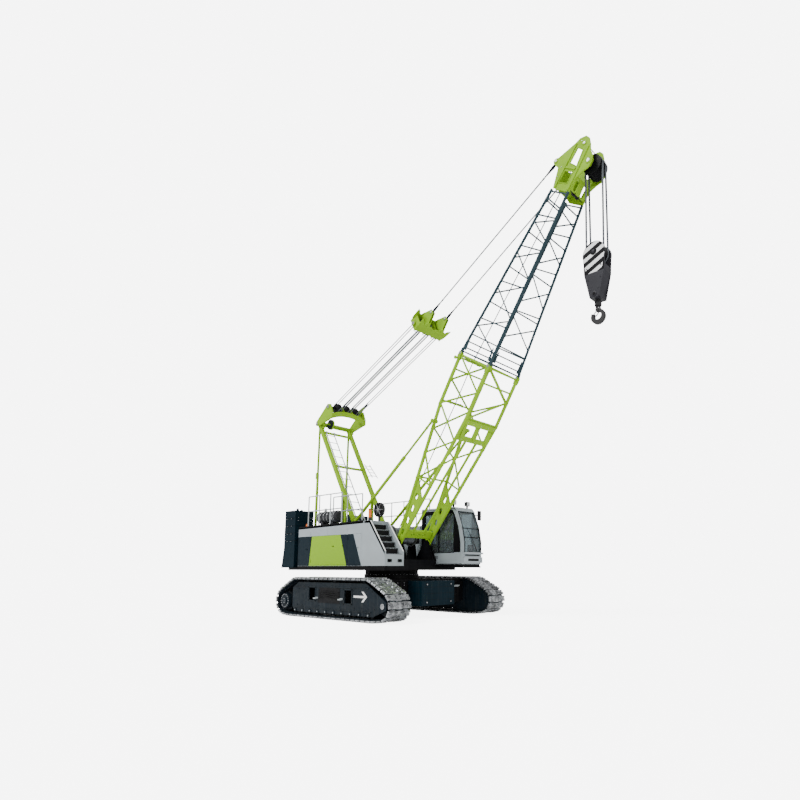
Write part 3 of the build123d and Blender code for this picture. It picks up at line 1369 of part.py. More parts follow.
# Backstops: a tube on the gantry leg's pin and the rod that slides in it, towards a boss on the boom
stop_low = Vector(BACKSTOP_X, 0, BACKSTOP_Z)
stop_high = boom_point(BACKSTOP_ALONG, BACKSTOP_ABOVE, 0)
stop_dir = (stop_high - stop_low).normalized()
with BuildPart() as backstop_tubes:
    for sign in (-1, 1):
        y = Vector(0, sign * BACKSTOP_SIDE, 0)
        eye = at(stop_low.X, sign * BACKSTOP_SIDE, stop_low.Z)
        with BuildSketch(Plane(origin=stop_low + y, z_dir=stop_dir)):
            RegularPolygon(TUBE_RADIUS, 8)
            RegularPolygon(ROD_RADIUS + RUNNING_GAP, 8, mode=Mode.SUBTRACT)
        extrude(amount=TUBE_LENGTH)
        add(disc(TUBE_RADIUS, 2 * TUBE_RADIUS, eye))
        add(disc(BACKSTOP_PIN + PIN_GAP, 3 * TUBE_RADIUS, eye), mode=Mode.SUBTRACT)
write(backstop_tubes.part, "backstop_tubes")
with BuildPart() as backstop_rods:
    for sign in (-1, 1):
        y = Vector(0, sign * BACKSTOP_SIDE, 0)
        add(bar(stop_high - stop_dir * ROD_LENGTH + y, stop_high + y, ROD_RADIUS, 8))
        add(disc(BACKSTOP_BOSS, 2 * ROD_RADIUS, at(stop_high.X, sign * BACKSTOP_SIDE, stop_high.Z)))
write(backstop_rods.part, "backstop_rods")

# Winches
for name, x, z, radius in DRUMS:
    with BuildPart() as drum:
        add(disc(radius, DRUM_WIDTH, at(x, 0, z)))
        for sign in (-1, 1):
            flange_y = sign * (DRUM_WIDTH + FLANGE_PLATE) / 2
            add(disc(radius + DRUM_FLANGE, FLANGE_PLATE, at(x, flange_y, z)))
        add(disc(DRUM_SHAFT, DRUM_WIDTH + 2 * (FLANGE_PLATE + CHEEK_GAP), at(x, 0, z)))
    write(drum.part, f"drum_{name}")


def roof_at(x, front):
    """Height of a house's roof at a distance, for a house that ends at front."""
    return HOUSE_TOP - ROOF_FALL * (front - x) / (front - HOUSE_REAR)


# Handrails along the roofs, and the ladder between the gantry's legs
with BuildPart() as handrails:
    for sign, inset, rear, ahead, bays in RAILS:
        y = sign * (half_width - inset)
        house_front = RIGHT_HOUSE_FRONT if sign < 0 else LEFT_HOUSE_FRONT
        roof = roof_at(ahead, house_front)
        for height in (RAIL_HEIGHT / 2, RAIL_HEIGHT):
            add(bar((rear, y, roof + height), (ahead, y, roof + height), RAIL))
        for index in range(bays + 1):
            x = rear + index * (ahead - rear) / bays
            add(bar((x, y, roof_at(x, house_front) - RAIL_SINK), (x, y, roof + RAIL_HEIGHT), RAIL))
    low = CROSSBARS[0]
    for y in LADDER_Y:
        add(bar((leg_x(low), y, low), (leg_x(LADDER_TOP), y, LADDER_TOP), RAIL))
    for index in range(LADDER_RUNGS):
        z = low + (index + 1 / 2) * (LADDER_TOP - low) / LADDER_RUNGS
        add(bar((leg_x(z), LADDER_Y[0], z), (leg_x(z), LADDER_Y[1], z), LADDER_RUNG))
    add([house_right, house_left, gantry_legs.part], mode=Mode.SUBTRACT)
write(handrails.part, "handrails")

# Muffler, beacon and cable reel on the right house and nose, lamps and mirror on the cab
muffler_rear, muffler_front, muffler_y, muffler_radius = MUFFLER
muffler_roof = roof_at(muffler_rear, RIGHT_HOUSE_FRONT)
muffler_z = muffler_roof + MUFFLER_LIFT + muffler_radius
pipe_x, pipe_radius, pipe_height = TAIL_PIPE
reel_x, reel_y, reel_z, reel_radius, reel_width = REEL
mirror_x, mirror_y, mirror_low, mirror_high = MIRROR
mirror_middle = (mirror_low + mirror_high) / 2
with BuildPart() as roof_fittings:
    with BuildSketch(Plane(origin=(muffler_rear, muffler_y, muffler_z), z_dir=(1, 0, 0))):
        Circle(muffler_radius)
    extrude(amount=muffler_front - muffler_rear)
    chamfer(roof_fittings.edges().filter_by(GeomType.CIRCLE), MUFFLER_DOME)
    for step in (1, 3):
        x = muffler_rear + step * (muffler_front - muffler_rear) / 4
        foot_rise = (muffler_roof - RAIL_SINK, muffler_z)
        add(block(span(x, MUFFLER_FOOT[0]), span(muffler_y, MUFFLER_FOOT[1]), foot_rise))
    with BuildSketch(Plane(origin=(pipe_x, muffler_y, muffler_z))):
        Circle(pipe_radius)
    extrude(amount=pipe_height)
    level = HOUSE_TOP
    for radius, height in BEACON_TIERS:
        with BuildSketch(Plane(origin=(*BEACON, level))):
            Circle(radius)
        extrude(amount=height)
        level += height
    add(disc(reel_radius, reel_width, at(reel_x, reel_y, reel_z)))
    post_low = roof_at(reel_x, RIGHT_HOUSE_FRONT) - RAIL_SINK
    add(bar((reel_x, reel_y, post_low), (reel_x, reel_y, reel_z), REEL_POST, 8))
    for x, y in CAB_LAMPS:
        stem_half, stem_height = LAMP_STEM
        add(block(span(x, 2 * stem_half), span(y, 2 * stem_half), (CAB_ROOF, CAB_ROOF + stem_height)))
        lamp_low = CAB_ROOF + stem_height
        add(block(span(x, CAB_LAMP[0]), span(y, CAB_LAMP[1]), (lamp_low, lamp_low + CAB_LAMP[2])))
    add(block(span(mirror_x, MIRROR_SIZE[0]), span(mirror_y, MIRROR_SIZE[1]), (mirror_low, mirror_high)))
    add(bar((*MIRROR_ROOT, mirror_middle), (mirror_x, mirror_y, mirror_middle), MIRROR_ARM))
    add([house_right, cab_shell.part], mode=Mode.SUBTRACT)
write(roof_fittings.part, "roof_fittings")
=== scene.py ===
"""Looks of the crawler crane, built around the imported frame, in metres."""

from __future__ import annotations

import json
import logging
from dataclasses import dataclass, replace
from enum import Enum
from math import acos, atan2, copysign, cos, degrees, dist, hypot, pi, radians, sin
from typing import ClassVar

import bmesh
import bpy
from mathutils import Matrix, Vector

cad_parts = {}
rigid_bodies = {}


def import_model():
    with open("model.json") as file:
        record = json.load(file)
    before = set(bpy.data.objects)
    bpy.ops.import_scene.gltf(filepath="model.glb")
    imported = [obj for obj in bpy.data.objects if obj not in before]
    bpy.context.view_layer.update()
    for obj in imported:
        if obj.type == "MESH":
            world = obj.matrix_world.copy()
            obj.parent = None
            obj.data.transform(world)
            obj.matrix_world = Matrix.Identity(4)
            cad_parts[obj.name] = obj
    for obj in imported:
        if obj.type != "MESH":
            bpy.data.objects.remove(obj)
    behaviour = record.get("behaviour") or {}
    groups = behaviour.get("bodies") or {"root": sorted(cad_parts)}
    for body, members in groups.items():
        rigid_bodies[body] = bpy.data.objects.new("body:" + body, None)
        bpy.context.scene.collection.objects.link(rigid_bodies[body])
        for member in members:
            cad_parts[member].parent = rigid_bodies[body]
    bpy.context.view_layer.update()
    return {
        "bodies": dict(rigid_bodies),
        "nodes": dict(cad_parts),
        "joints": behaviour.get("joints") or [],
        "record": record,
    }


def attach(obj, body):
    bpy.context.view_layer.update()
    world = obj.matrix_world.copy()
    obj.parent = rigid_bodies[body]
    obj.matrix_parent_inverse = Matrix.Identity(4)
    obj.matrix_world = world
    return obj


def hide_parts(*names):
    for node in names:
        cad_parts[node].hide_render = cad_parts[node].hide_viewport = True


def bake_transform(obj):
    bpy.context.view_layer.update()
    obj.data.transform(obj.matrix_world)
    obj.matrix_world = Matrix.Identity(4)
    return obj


log = logging.getLogger("crane")

Pair = tuple[float, float]
Triple = tuple[float, float, float]
Spot = Vector | Triple
Socket = bpy.types.NodeSocket


class Weave:
    """Writes one material's nodes with short calls."""

    def __init__(self, name: str) -> None:
        """Starts an empty node material with its shader and output.

        Args:
            name: The material's name.
        """
        self.material = bpy.data.materials.new(name)
        self.material.use_nodes = True
        self.tree = self.material.node_tree
        self.shader = self.tree.nodes["Principled BSDF"]
        self.place = self.tree.nodes.new("ShaderNodeTexCoord").outputs["Object"]

    def node(self, kind: str, **values: object) -> bpy.types.Node:
        """Adds a node and sets its properties.

        Args:
            kind: The node's type name.
            **values: Property names and their values.

        Returns:
            The new node.
        """
        made = self.tree.nodes.new(kind)
        for key, value in values.items():
            setattr(made, key, value)
        return made

    def join(self, source: Socket, target: Socket) -> None:
        """Links an output to an input."""
        self.tree.links.new(source, target)

    def noise(self, scale: float, detail: float = 3.0, stretch: Triple = (1, 1, 1)) -> Socket:
        """Noise over the piece.

        Args:
            scale: How fine the noise is, per metre.
            detail: Number of finer layers.
            stretch: Scale of the noise along each axis.

        Returns:
            The noise value's output.
        """
        place = self.place
        if stretch != (1, 1, 1):
            spread = self.node("ShaderNodeMapping")
            spread.inputs["Scale"].default_value = stretch
            self.join(place, spread.inputs["Vector"])
            place = spread.outputs["Vector"]
        made = self.node("ShaderNodeTexNoise")
        made.inputs["Scale"].default_value = scale
        made.inputs["Detail"].default_value = detail
        self.join(place, made.inputs["Vector"])
        return made.outputs["Fac"]

    def band(self, value: Socket, low: float, high: float, out_low: float = 0.0,
            out_high: float = 1.0) -> Socket:
        """Maps a value from one range to another, smoothly and clamped.

        Args:
            value: What is mapped.
            low: Start of its range.
            high: End of its range.
            out_low: Result at the start.
            out_high: Result at the end.

        Returns:
            The mapped value's output.
        """
        made = self.node("ShaderNodeMapRange", interpolation_type="SMOOTHSTEP")
        for key, number in (("From Min", low), ("From Max", high), ("To Min", out_low),
                ("To Max", out_high)):
            made.inputs[key].default_value = number
        self.join(value, made.inputs["Value"])
        return made.outputs["Result"]

    def sum(self, kind: str, first: Socket, second: Socket | float,
            third: float = 0.0) -> Socket:
        """One step of arithmetic.

        Args:
            kind: The operation's name.
            first: First value.
            second: Second value, a socket or a number.
            third: Third number, for operations that have one.

        Returns:
            The result's output.
        """
        made = self.node("ShaderNodeMath", operation=kind)
        self.join(first, made.inputs[0])
        if isinstance(second, Socket):
            self.join(second, made.inputs[1])
        else:
            made.inputs[1].default_value = second
        made.inputs[2].default_value = third
        return made.outputs[0]

    def blend(self, share: Socket, first: Triple | Socket, second: Triple | Socket) -> Socket:
        """Mixes two colours.

        Args:
            share: How much of the second colour shows.
            first: A colour or a colour output.
            second: A colour or a colour output.

        Returns:
            The mixed colour's output.
        """
        made = self.node("ShaderNodeMix", data_type="RGBA")
        self.join(share, made.inputs["Factor"])
        for socket, colour in ((made.inputs[6], first), (made.inputs[7], second)):
            if isinstance(colour, Socket):
                self.join(colour, socket)
            else:
                socket.default_value = (*colour, 1.0)
        return made.outputs[2]

    def axis(self, name: str) -> Socket:
        """The piece's own X, Y or Z at each point."""
        parts = self.node("ShaderNodeSeparateXYZ")
        self.join(self.place, parts.inputs[0])
        return parts.outputs[name]

    def edges(self, radius: float) -> Socket:
        """How near each point is to a sharp edge.

        Args:
            radius: Width of the edge in metres.

        Returns:
            A value that rises from 0 on flats to about 1 on edges.
        """
        rounded = self.node("ShaderNodeBevel", samples=4)
        rounded.inputs["Radius"].default_value = radius
        facing = self.node("ShaderNodeNewGeometry")
        product = self.node("ShaderNodeVectorMath", operation="DOT_PRODUCT")
        self.join(rounded.outputs[0], product.inputs[0])
        self.join(facing.outputs["True Normal"], product.inputs[1])
        return self.band(product.outputs["Value"], 0.998, 0.9)

    def relief(self, height: Socket, strength: float, depth: float) -> None:
        """Bumps the surface.

        Args:
            height: The height at each point, 0 to 1.
            strength: How much of the bump shows.
            depth: Height of the bump in metres.
        """
        made = self.node("ShaderNodeBump")
        made.inputs["Strength"].default_value = strength
        made.inputs["Distance"].default_value = depth
        self.join(height, made.inputs["Height"])
        self.join(made.outputs[0], self.shader.inputs["Normal"])

    def colour(self, source: Socket) -> None:
        """Sets the base colour from an output."""
        self.join(source, self.shader.inputs["Base Color"])

    def gloss(self, source: Socket) -> None:
        """Sets the roughness from an output."""
        self.join(source, self.shader.inputs["Roughness"])

    def fixed(self, **values: float | tuple[float, ...]) -> None:
        """Sets even shader values; underscores stand for spaces in their names."""
        for key, value in values.items():
            self.shader.inputs[key.replace("_", " ")].default_value = value


def shade(colour: Triple, factor: float) -> Triple:
    """A colour made lighter or darker by a factor."""
    return tuple(min(1.0, part * factor) for part in colour)


@dataclass(frozen=True)
class Enamel:
    """Sprayed enamel on steel: uneven tone, orange peel, dust from below, rubbed edges."""

    name: str
    colour: Triple
    roughness: float = 0.4
    tone: float = 0.16
    dust: float = 0.3
    wear: float = 0.35
    lacquer: float = 0.0
    shine: float = 0.3
    bare: Triple = (0.42, 0.42, 0.4)
    soil: Triple = (0.3, 0.27, 0.22)

    def base(self, weave: Weave) -> Socket:
        """The enamel's uneven colour."""
        cloudy = weave.band(weave.noise(1.7, 4.0), 0.3, 0.7)
        return weave.blend(cloudy, shade(self.colour, 1 - self.tone), shade(self.colour, 1 + self.tone))

    def weather(self, weave: Weave, base: Socket) -> None:
        """Adds dust low down, rubbed edges, gloss and orange peel.

        Args:
            weave: The material being written.
            base: The clean colour.
        """
        streaks = weave.noise(3.0, 5.0, (6, 6, 0.5))
        low = weave.band(weave.axis("Z"), 2.6, 0.1, 0.12, 1.0)
        settled = weave.sum("MULTIPLY", weave.band(streaks, 0.42, 0.75, 0.0, self.dust), low)
        base = weave.blend(settled, base, self.soil)
        chips = weave.sum("MULTIPLY", weave.edges(0.006),
            weave.band(weave.noise(14.0, 6.0), 0.5, 0.62, 0.0, self.wear))
        weave.colour(weave.blend(chips, base, self.bare))
        weave.gloss(weave.band(weave.noise(9.0, 5.0), 0.25, 0.8, self.roughness - 0.08,
            self.roughness + 0.18))
        weave.relief(weave.noise(160.0, 2.0), 0.12, 0.002)
        weave.fixed(Coat_Weight=self.lacquer, Coat_Roughness=0.18, Specular_IOR_Level=self.shine)

    def material(self) -> bpy.types.Material:
        """Makes the enamel's material."""
        weave = Weave(self.name)
        self.weather(weave, self.base(weave))
        return weave.material


@dataclass(frozen=True)
class Metal:
    """Bare, galvanised or blued metal with a fine grain and darker patches."""

    name: str
    colour: Triple
    roughness: float = 0.35
    metallic: float = 0.9
    patch: float = 0.35
    grain: Triple = (1, 1, 1)
    rust: float = 0.0

    def material(self) -> bpy.types.Material:
        """Makes the metal's material."""
        weave = Weave(self.name)
        base = weave.blend(weave.band(weave.noise(6.0, 6.0), 0.3, 0.72),
            shade(self.colour, 1 - self.patch), self.colour)
        if self.rust:
            spots = weave.band(weave.noise(11.0, 8.0), 0.52, 0.7, 0.0, self.rust)
            base = weave.blend(spots, base, (0.11, 0.055, 0.03))
        # Every sharp edge is lightened evenly: partly rubbed wear, partly a painted edge highlight.
        weave.colour(weave.blend(weave.edges(0.004), base, shade(self.colour, 1.5)))
        fine = weave.noise(90.0, 4.0, self.grain)
        weave.gloss(weave.band(fine, 0.2, 0.8, self.roughness - 0.1, self.roughness + 0.2))
        weave.relief(fine, 0.15, 0.0015)
        weave.fixed(Metallic=self.metallic)
        return weave.material


@dataclass(frozen=True)
class Strand:
    """Wire rope: twisted strands, darker in the grooves between them with grease and painted shade."""

    name: str
    colour: Triple
    lay: float = 55.0

    def material(self) -> bpy.types.Material:
        """Makes the rope's material."""
        weave = Weave(self.name)
        wave = weave.node("ShaderNodeTexWave", bands_direction="DIAGONAL")
        wave.inputs["Scale"].default_value = self.lay
        wave.inputs["Distortion"].default_value = 0.6
        weave.join(weave.place, wave.inputs["Vector"])
        twist = wave.outputs["Fac"]
        # The grooves between strands are darkened: grease, and painted shade in the grooves.
        weave.colour(weave.blend(twist, shade(self.colour, 0.45), self.colour))
        weave.gloss(weave.band(twist, 0.0, 1.0, 0.55, 0.3))
        weave.relief(twist, 0.6, 0.004)
        weave.fixed(Metallic=0.75)
        return weave.material


@dataclass(frozen=True)
class Clear:
    """Tinted safety glass with a film of dust."""

    name: str
    tint: Triple
    roughness: float = 0.03
    see_through: float = 0.9

    def material(self) -> bpy.types.Material:
        """Makes the glass's material."""
        weave = Weave(self.name)
        dust = weave.band(weave.noise(7.0, 5.0), 0.45, 0.8)
        weave.colour(weave.blend(dust, self.tint, shade(self.tint, 1.15)))
        weave.gloss(weave.band(weave.noise(12.0, 4.0), 0.3, 0.8, self.roughness, self.roughness + 0.03))
        weave.fixed(Transmission_Weight=self.see_through, IOR=1.45)
        return weave.material


@dataclass(frozen=True)
class Cloth:
    """Woven cloth: crossed threads, lint and a soft sheen."""

    name: str
    colour: Triple
    threads: float = 700.0

    def material(self) -> bpy.types.Material:
        """Makes the cloth's material."""
        weave = Weave(self.name)
        waves = []
        for way in ("X", "Y"):
            wave = weave.node("ShaderNodeTexWave", bands_direction=way)
            wave.inputs["Scale"].default_value = self.threads / 20
            weave.join(weave.place, wave.inputs["Vector"])
            waves.append(wave.outputs["Fac"])
        cross = weave.sum("MULTIPLY", waves[0], waves[1])
        lint = weave.band(weave.noise(20.0, 5.0), 0.35, 0.75)
        weave.colour(weave.blend(lint, shade(self.colour, 0.8), shade(self.colour, 1.3)))
        weave.relief(cross, 0.5, 0.002)
        weave.fixed(Roughness=0.9, Sheen_Weight=0.3)
        return weave.material


@dataclass(frozen=True)
class Livery:
    """The right side's painted bands: lime between two slanted edges, teal at both ends, grey past them."""

    name: str
    ground: Enamel
    lime: Triple
    teal: Triple
    rise: Pair = (1.69, 2.74)
    lime_rear: Pair = (-2.35, 0.143)
    lime_front: Pair = (-0.67, 0.358)
    teal_front: Pair = (0.05, 0.427)

    def material(self) -> bpy.types.Material:
        """Makes the banded paint, on the outer skin alone."""
        weave = Weave(self.name)
        x, z = weave.axis("X"), weave.axis("Z")
        drop = weave.sum("SUBTRACT", weave.sum("MULTIPLY", z, -1.0), -self.rise[1])

        def edge(line: Pair, sign: float) -> Socket:
            """1 on the front side of a slanted edge, 0 behind it."""
            along = weave.sum("ADD", weave.sum("MULTIPLY", drop, line[1] * sign), line[0])
            return weave.sum("GREATER_THAN", weave.sum("SUBTRACT", x, along), 0.0)

        high = weave.sum("LESS_THAN", z, self.rise[1])
        low = weave.sum("GREATER_THAN", z, self.rise[0])
        skin = weave.sum("LESS_THAN", weave.axis("Y"), -1.72)
        zone = weave.sum("MULTIPLY", weave.sum("MULTIPLY", high, low), skin)
        behind, ahead, past = edge(self.lime_rear, -1.0), edge(self.lime_front,
            1.0), edge(self.teal_front, 1.0)
        base = self.ground.base(weave)
        painted = weave.blend(behind, self.teal, self.lime)
        painted = weave.blend(ahead, painted, self.teal)
        painted = weave.blend(past, painted, shade(self.ground.colour, 1.0))
        inside = weave.sum("MULTIPLY", zone, weave.sum("SUBTRACT", weave.sum("MULTIPLY", past, -1.0), -1.0))
        base = weave.blend(inside, base, painted)
        self.ground.weather(weave, base)
        return weave.material


@dataclass(frozen=True)
class Face:
    """A flat place to build on: an origin, two directions in it and the way out of it."""

    origin: Spot
    right: Spot
    up: Spot
    out: Spot

    def at(self, across: float, high: float, proud: float = 0.0) -> Vector:
        """A point on the face.

        Args:
            across: Distance along its first direction.
            high: Distance along its second direction.
            proud: Height above it.

        Returns:
            The point.
        """
        place = Vector(self.origin) + Vector(self.right) * across
        return place + Vector(self.up) * high + Vector(self.out) * proud


def flank(sign: int, y: float) -> Face:
    """The outer side face at a distance from the middle, on the left for 1 and on the right for -1."""
    return Face((0, sign * y, 0), (1, 0, 0), (0, 0, 1), (0, sign, 0))


def span(sign: int, low: float, high: float) -> Pair:
    """A range on the left for 1 or on the right for -1, its lower end first."""
    return tuple(sorted((sign * low, sign * high)))


def facing(way: int, x: float, y: float = 0.0, z: float = 0.0) -> Face:
    """A face that looks ahead for 1 and back for -1, measured across and up from a point."""
    return Face((x, y, z), (0, 1, 0), (0, 0, 1), (way, 0, 0))


def aside(y: float) -> Vector:
    """A shift across the crane."""
    return Vector((0, y, 0))


BOOM_TURN = radians(58.43)
BOOM_ALONG = Vector((cos(BOOM_TURN), 0, sin(BOOM_TURN)))
BOOM_ABOVE = Vector((-sin(BOOM_TURN), 0, cos(BOOM_TURN)))
BOOM_FOOT = Vector((1.084, 0, 2.466))


def boom_point(along: float, above: float, y: float = 0.0) -> Vector:
    """A point given along the boom, towards its back, and across it."""
    return BOOM_FOOT + BOOM_ALONG * along + BOOM_ABOVE * above + aside(y)


def boom_side(sign: int, y: float, along: float = 0.0) -> Face:
    """The side face of the boom at a distance from its middle."""
    return Face(boom_point(along, 0, sign * y), BOOM_ALONG, BOOM_ABOVE, (0, sign, 0))


def arc(centre: Spot, first: Spot, second: Spot, low: float, high: float, steps: int = 12) -> list[Vector]:
    """Points along an arc.

    Args:
        centre: Its centre.
        first: The radius at 0 degrees.
        second: The radius at 90 degrees.
        low: Start in degrees.
        high: End in degrees.
        steps: Number of steps.

    Returns:
        The points.
    """
    turns = [radians(low + (high - low) * step / steps) for step in range(steps + 1)]
    return [Vector(centre) + Vector(first) * cos(turn) + Vector(second) * sin(turn) for turn in turns]


def rounded(path: list[Spot], radius: float, steps: int = 5) -> list[Vector]:
    """A path with its corners rounded.

    Args:
        path: The corner points.
        radius: How far from a corner its rounding starts.
        steps: Points on each rounding.

    Returns:
        The points of the rounded path.
    """
    points = [Vector(point) for point in path]
    made = [points[0]]
    for before, corner, after in zip(points, points[1:], points[2:]):
        start = corner + (before - corner).normalized() * radius
        end = corner + (after - corner).normalized() * radius
        for step in range(steps + 1):
            share = step / steps
            made.append(start.lerp(corner, share).lerp(corner.lerp(end, share), share))
    made.append(points[-1])
    return made


class Form:
    """Gathers solids into one mesh in the crane's own axes."""

    paint: ClassVar[dict[Slot, bpy.types.Material]] = {}

    def __init__(self) -> None:
        """Starts with no points and no faces."""
        self.points: list[Vector] = []
        self.faces: list[tuple[int, ...]] = []

    def loft(self, rings: list[list[Spot]], capped: bool = True) -> Form:
        """Skins a row of rings with equal numbers of points.

        Args:
            rings: The rings in order.
            capped: Whether both ends are closed.

        Returns:
            The form itself.
        """
        first = len(self.points)
        size = len(rings[0])
        for ring in rings:
            self.points.extend(Vector(point) for point in ring)
        for row in range(len(rings) - 1):
            low = first + row * size
            for index in range(size):
                after = (index + 1) % size
                self.faces.append((low + index, low + after, low + size + after, low + size + index))
        if capped:
            self.faces.append(tuple(range(first + size - 1, first - 1, -1)))
            last = first + (len(rings) - 1) * size
            self.faces.append(tuple(range(last, last + size)))
        return self

    def box(self, low: Triple, high: Triple) -> Form:
        """A box between two corners."""
        corners = [(low[0], low[1]), (high[0], low[1]), (high[0], high[1]), (low[0], high[1])]
        return self.loft([[(x, y, z) for x, y in corners] for z in (low[2], high[2])])

    def tube(self, path: list[Spot], radius: float, sides: int = 10) -> Form:
        """A round bar along a path of points.

        Args:
            path: The points that its middle follows.
            radius: Its radius.
            sides: Sides of its section.

        Returns:
            The form itself.
        """
        path = [Vector(point) for point in path]
        across = None
        rings = []
        for index, point in enumerate(path):
            before = (point - path[index - 1]).normalized() if index else None
            after = (path[index + 1] - point).normalized() if index < len(path) - 1 else None
            run = ((before or after) + (after or before)).normalized()
            if across is None:
                across = run.orthogonal().normalized()
            across = (across - run * across.dot(run)).normalized()
            other = run.cross(across)
            reach = radius if not (before and after) else radius / max(0.5, before.dot(run))
            turns = [2 * pi * side / sides for side in range(sides)]
            rings.append([point + (across * cos(turn) + other * sin(turn)) * reach for turn in turns])
        return self.loft(rings)

    def spin(self, origin: Spot, axis: Spot, profile: list[Pair], steps: int = 24) -> Form:
        """A turned solid.

        Args:
            origin: A point on its axis.
            axis: The axis's direction.
            profile: Pairs of distance along the axis and radius.
            steps: Sides of the turning.

        Returns:
            The form itself.
        """
        run = Vector(axis).normalized()
        across = run.orthogonal().normalized()
        other = run.cross(across)
        turns = [2 * pi * step / steps for step in range(steps)]
        origin = Vector(origin)
        rings = []
        for along, radius in profile:
            middle, reach = origin + run * along, max(radius, 1e-4)
            rings.append([middle + (across * cos(turn) + other * sin(turn)) * reach for turn in turns])
        return self.loft(rings)

    def slab(self, outline: list[Spot], thickness: Spot) -> Form:
        """A flat plate: an outline in space, thickened along a vector."""
        half = Vector(thickness) / 2
        return self.loft([[Vector(point) - half for point in outline],
            [Vector(point) + half for point in outline]])

    def pad(self, face: Face, across: Pair, high: Pair, proud: Pair) -> Form:
        """A box on a face.

        Args:
            face: The face.
            across: Its low and high side along the face's first direction.
            high: Its low and high side along the face's second direction.
            proud: Its low and high side above the face.

        Returns:
            The form itself.
        """
        corners = [(across[0], high[0]), (across[1], high[0]), (across[1], high[1]), (across[0], high[1])]
        return self.loft([[face.at(x, z, lift) for x, z in corners] for lift in proud])

    def frame(self, face: Face, across: Pair, high: Pair, wide: float, proud: Pair) -> Form:
        """A rectangular frame of four bars on a face.

        Args:
            face: The face.
            across: Its outer sides along the face's first direction.
            high: Its outer sides along the face's second direction.
            wide: Width of the bars.
            proud: Its low and high side above the face.

        Returns:
            The form itself.
        """
        inner = (high[0] + wide, high[1] - wide)
        self.pad(face, across, (high[0], inner[0]), proud).pad(face, across, (inner[1], high[1]), proud)
        self.pad(face, (across[0], across[0] + wide), inner, proud)
        return self.pad(face, (across[1] - wide, across[1]), inner, proud)

    def sheet(self, face: Face, outline: list[Pair], proud: Pair) -> Form:
        """A plate with a straight-edged outline on a face."""
        return self.loft([[face.at(x, z, lift) for x, z in outline] for lift in proud])

    def stud(self, face: Face, across: float, high: float, radius: float, height: float, sides: int = 6,
            base: float = 0.0) -> Form:
        """A bolt head or a round boss on a face.

        Args:
            face: The face.
            across: Its place along the face's first direction.
            high: Its place along the face's second direction.
            radius: Its radius.
            height: How far it stands out.
            sides: Its sides.
            base: Where it starts above the face.

        Returns:
            The form itself.
        """
        rim = min(radius, height) * 0.25
        profile = [(base, radius), (base + height - rim, radius), (base + height, radius - rim)]
        return self.spin(face.at(across, high), Vector(face.out), profile, sides)

    def ring(self, face: Face, centre: Pair, reach: float, count: int, *sizes: float) -> Form:
        """A ring of bolt heads or bosses on a face.

        Args:
            face: The face.
            centre: The ring's middle on the face.
            reach: The ring's radius.
            count: How many there are.
            *sizes: Radius, height, sides and base of each, as for a stud.

        Returns:
            The form itself.
        """
        for turn in (2 * pi * index / count for index in range(count)):
            self.stud(face, centre[0] + reach * cos(turn), centre[1] + reach * sin(turn), *sizes)
        return self

    def hoop(self, path: list[Spot], radius: float, sides: int = 8) -> Form:
        """A closed round bar along a flat loop of points."""
        points = [Vector(point) for point in path]
        middle = sum(points, Vector()) / len(points)
        rings = []
        for index, point in enumerate(points):
            run = (points[(index + 1) % len(points)] - points[index - 1]).normalized()
            across = (point - middle).normalized()
            across = (across - run * across.dot(run)).normalized()
            other = run.cross(across)
            turns = [2 * pi * side / sides for side in range(sides)]
            rings.append([point + (across * cos(turn) + other * sin(turn)) * radius for turn in turns])
        first = len(self.points)
        self.loft(rings, capped=False)
        last = first + (len(rings) - 1) * sides
        for side in range(sides):
            after = (side + 1) % sides
            self.faces.append((last + side, last + after, first + after, first + side))
        return self

    def piece(self, name: str, finish: Slot, body: str, bevel: float = 0.0, crease: float = 35.0,
            slot: Slot | None = None) -> bpy.types.Object:
        """Turns the gathered solids into one object that rides on a body.

        Args:
            name: The object's name.
            finish: Its finish.
            body: The body that it rides on, or an empty text for a piece that rides on none.
            bevel: Width of the rounding on sharp edges.
            crease: Angle in degrees above which an edge stays sharp.
            slot: Not used; meant as the record's material slot where the finish is none of the record's.

        Returns:
            The new object.
        """
        mesh = bpy.data.meshes.new(name)
        mesh.from_pydata([tuple(point) for point in self.points], [], self.faces)
        work = bmesh.new()
        work.from_mesh(mesh)
        bmesh.ops.recalc_face_normals(work, faces=work.faces)
        limit = radians(crease)
        if bevel:
            sharp = [edge for edge in work.edges if len(edge.link_faces) == 2
                and edge.calc_face_angle(0) > limit]
            bmesh.ops.bevel(work, geom=sharp, offset=bevel, segments=1, affect="EDGES", clamp_overlap=True)
        for face in work.faces:
            face.smooth = True
        for edge in work.edges:
            edge.smooth = len(edge.link_faces) == 2 and edge.calc_face_angle(0) < limit
        work.to_mesh(mesh)
        work.free()
        mesh.materials.append(self.paint[finish])
        made = bpy.data.objects.new(name, mesh)
        bpy.context.scene.collection.objects.link(made)
        if body:
            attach(made, body)
        log.info("%s: %d points, %d faces", name, len(mesh.vertices), len(mesh.polygons))
        return made


class Slot(Enum):
    """The finishes: the record's material slots first, then those that only the looks need."""

    LIME = "lime_paint"
    SLATE = "slate_paint"
    TEAL = "teal_paint"
    GREY = "grey_paint"
    BLACK = "black_paint"
    FRAME = "frame_paint"
    SHOE = "shoe_steel"
    BARE = "bare_steel"
    ROPE = "rope_steel"
    NYLON = "sheave_nylon"
    BLOCK = "block_paint"
    IRON = "hook_iron"
    GLASS = "cab_glass"
    CLOTH = "seat_fabric"
    ENGINE = "engine_paint"
    RAIL = "rail_paint"
    WHITE = "white_marking"
    AMBER = "amber_lens"
    LENS = "lamp_lens"
    LINING = "cab_lining"
    CHROME = "mirror_silver"
    LIVERY = "banded_livery"


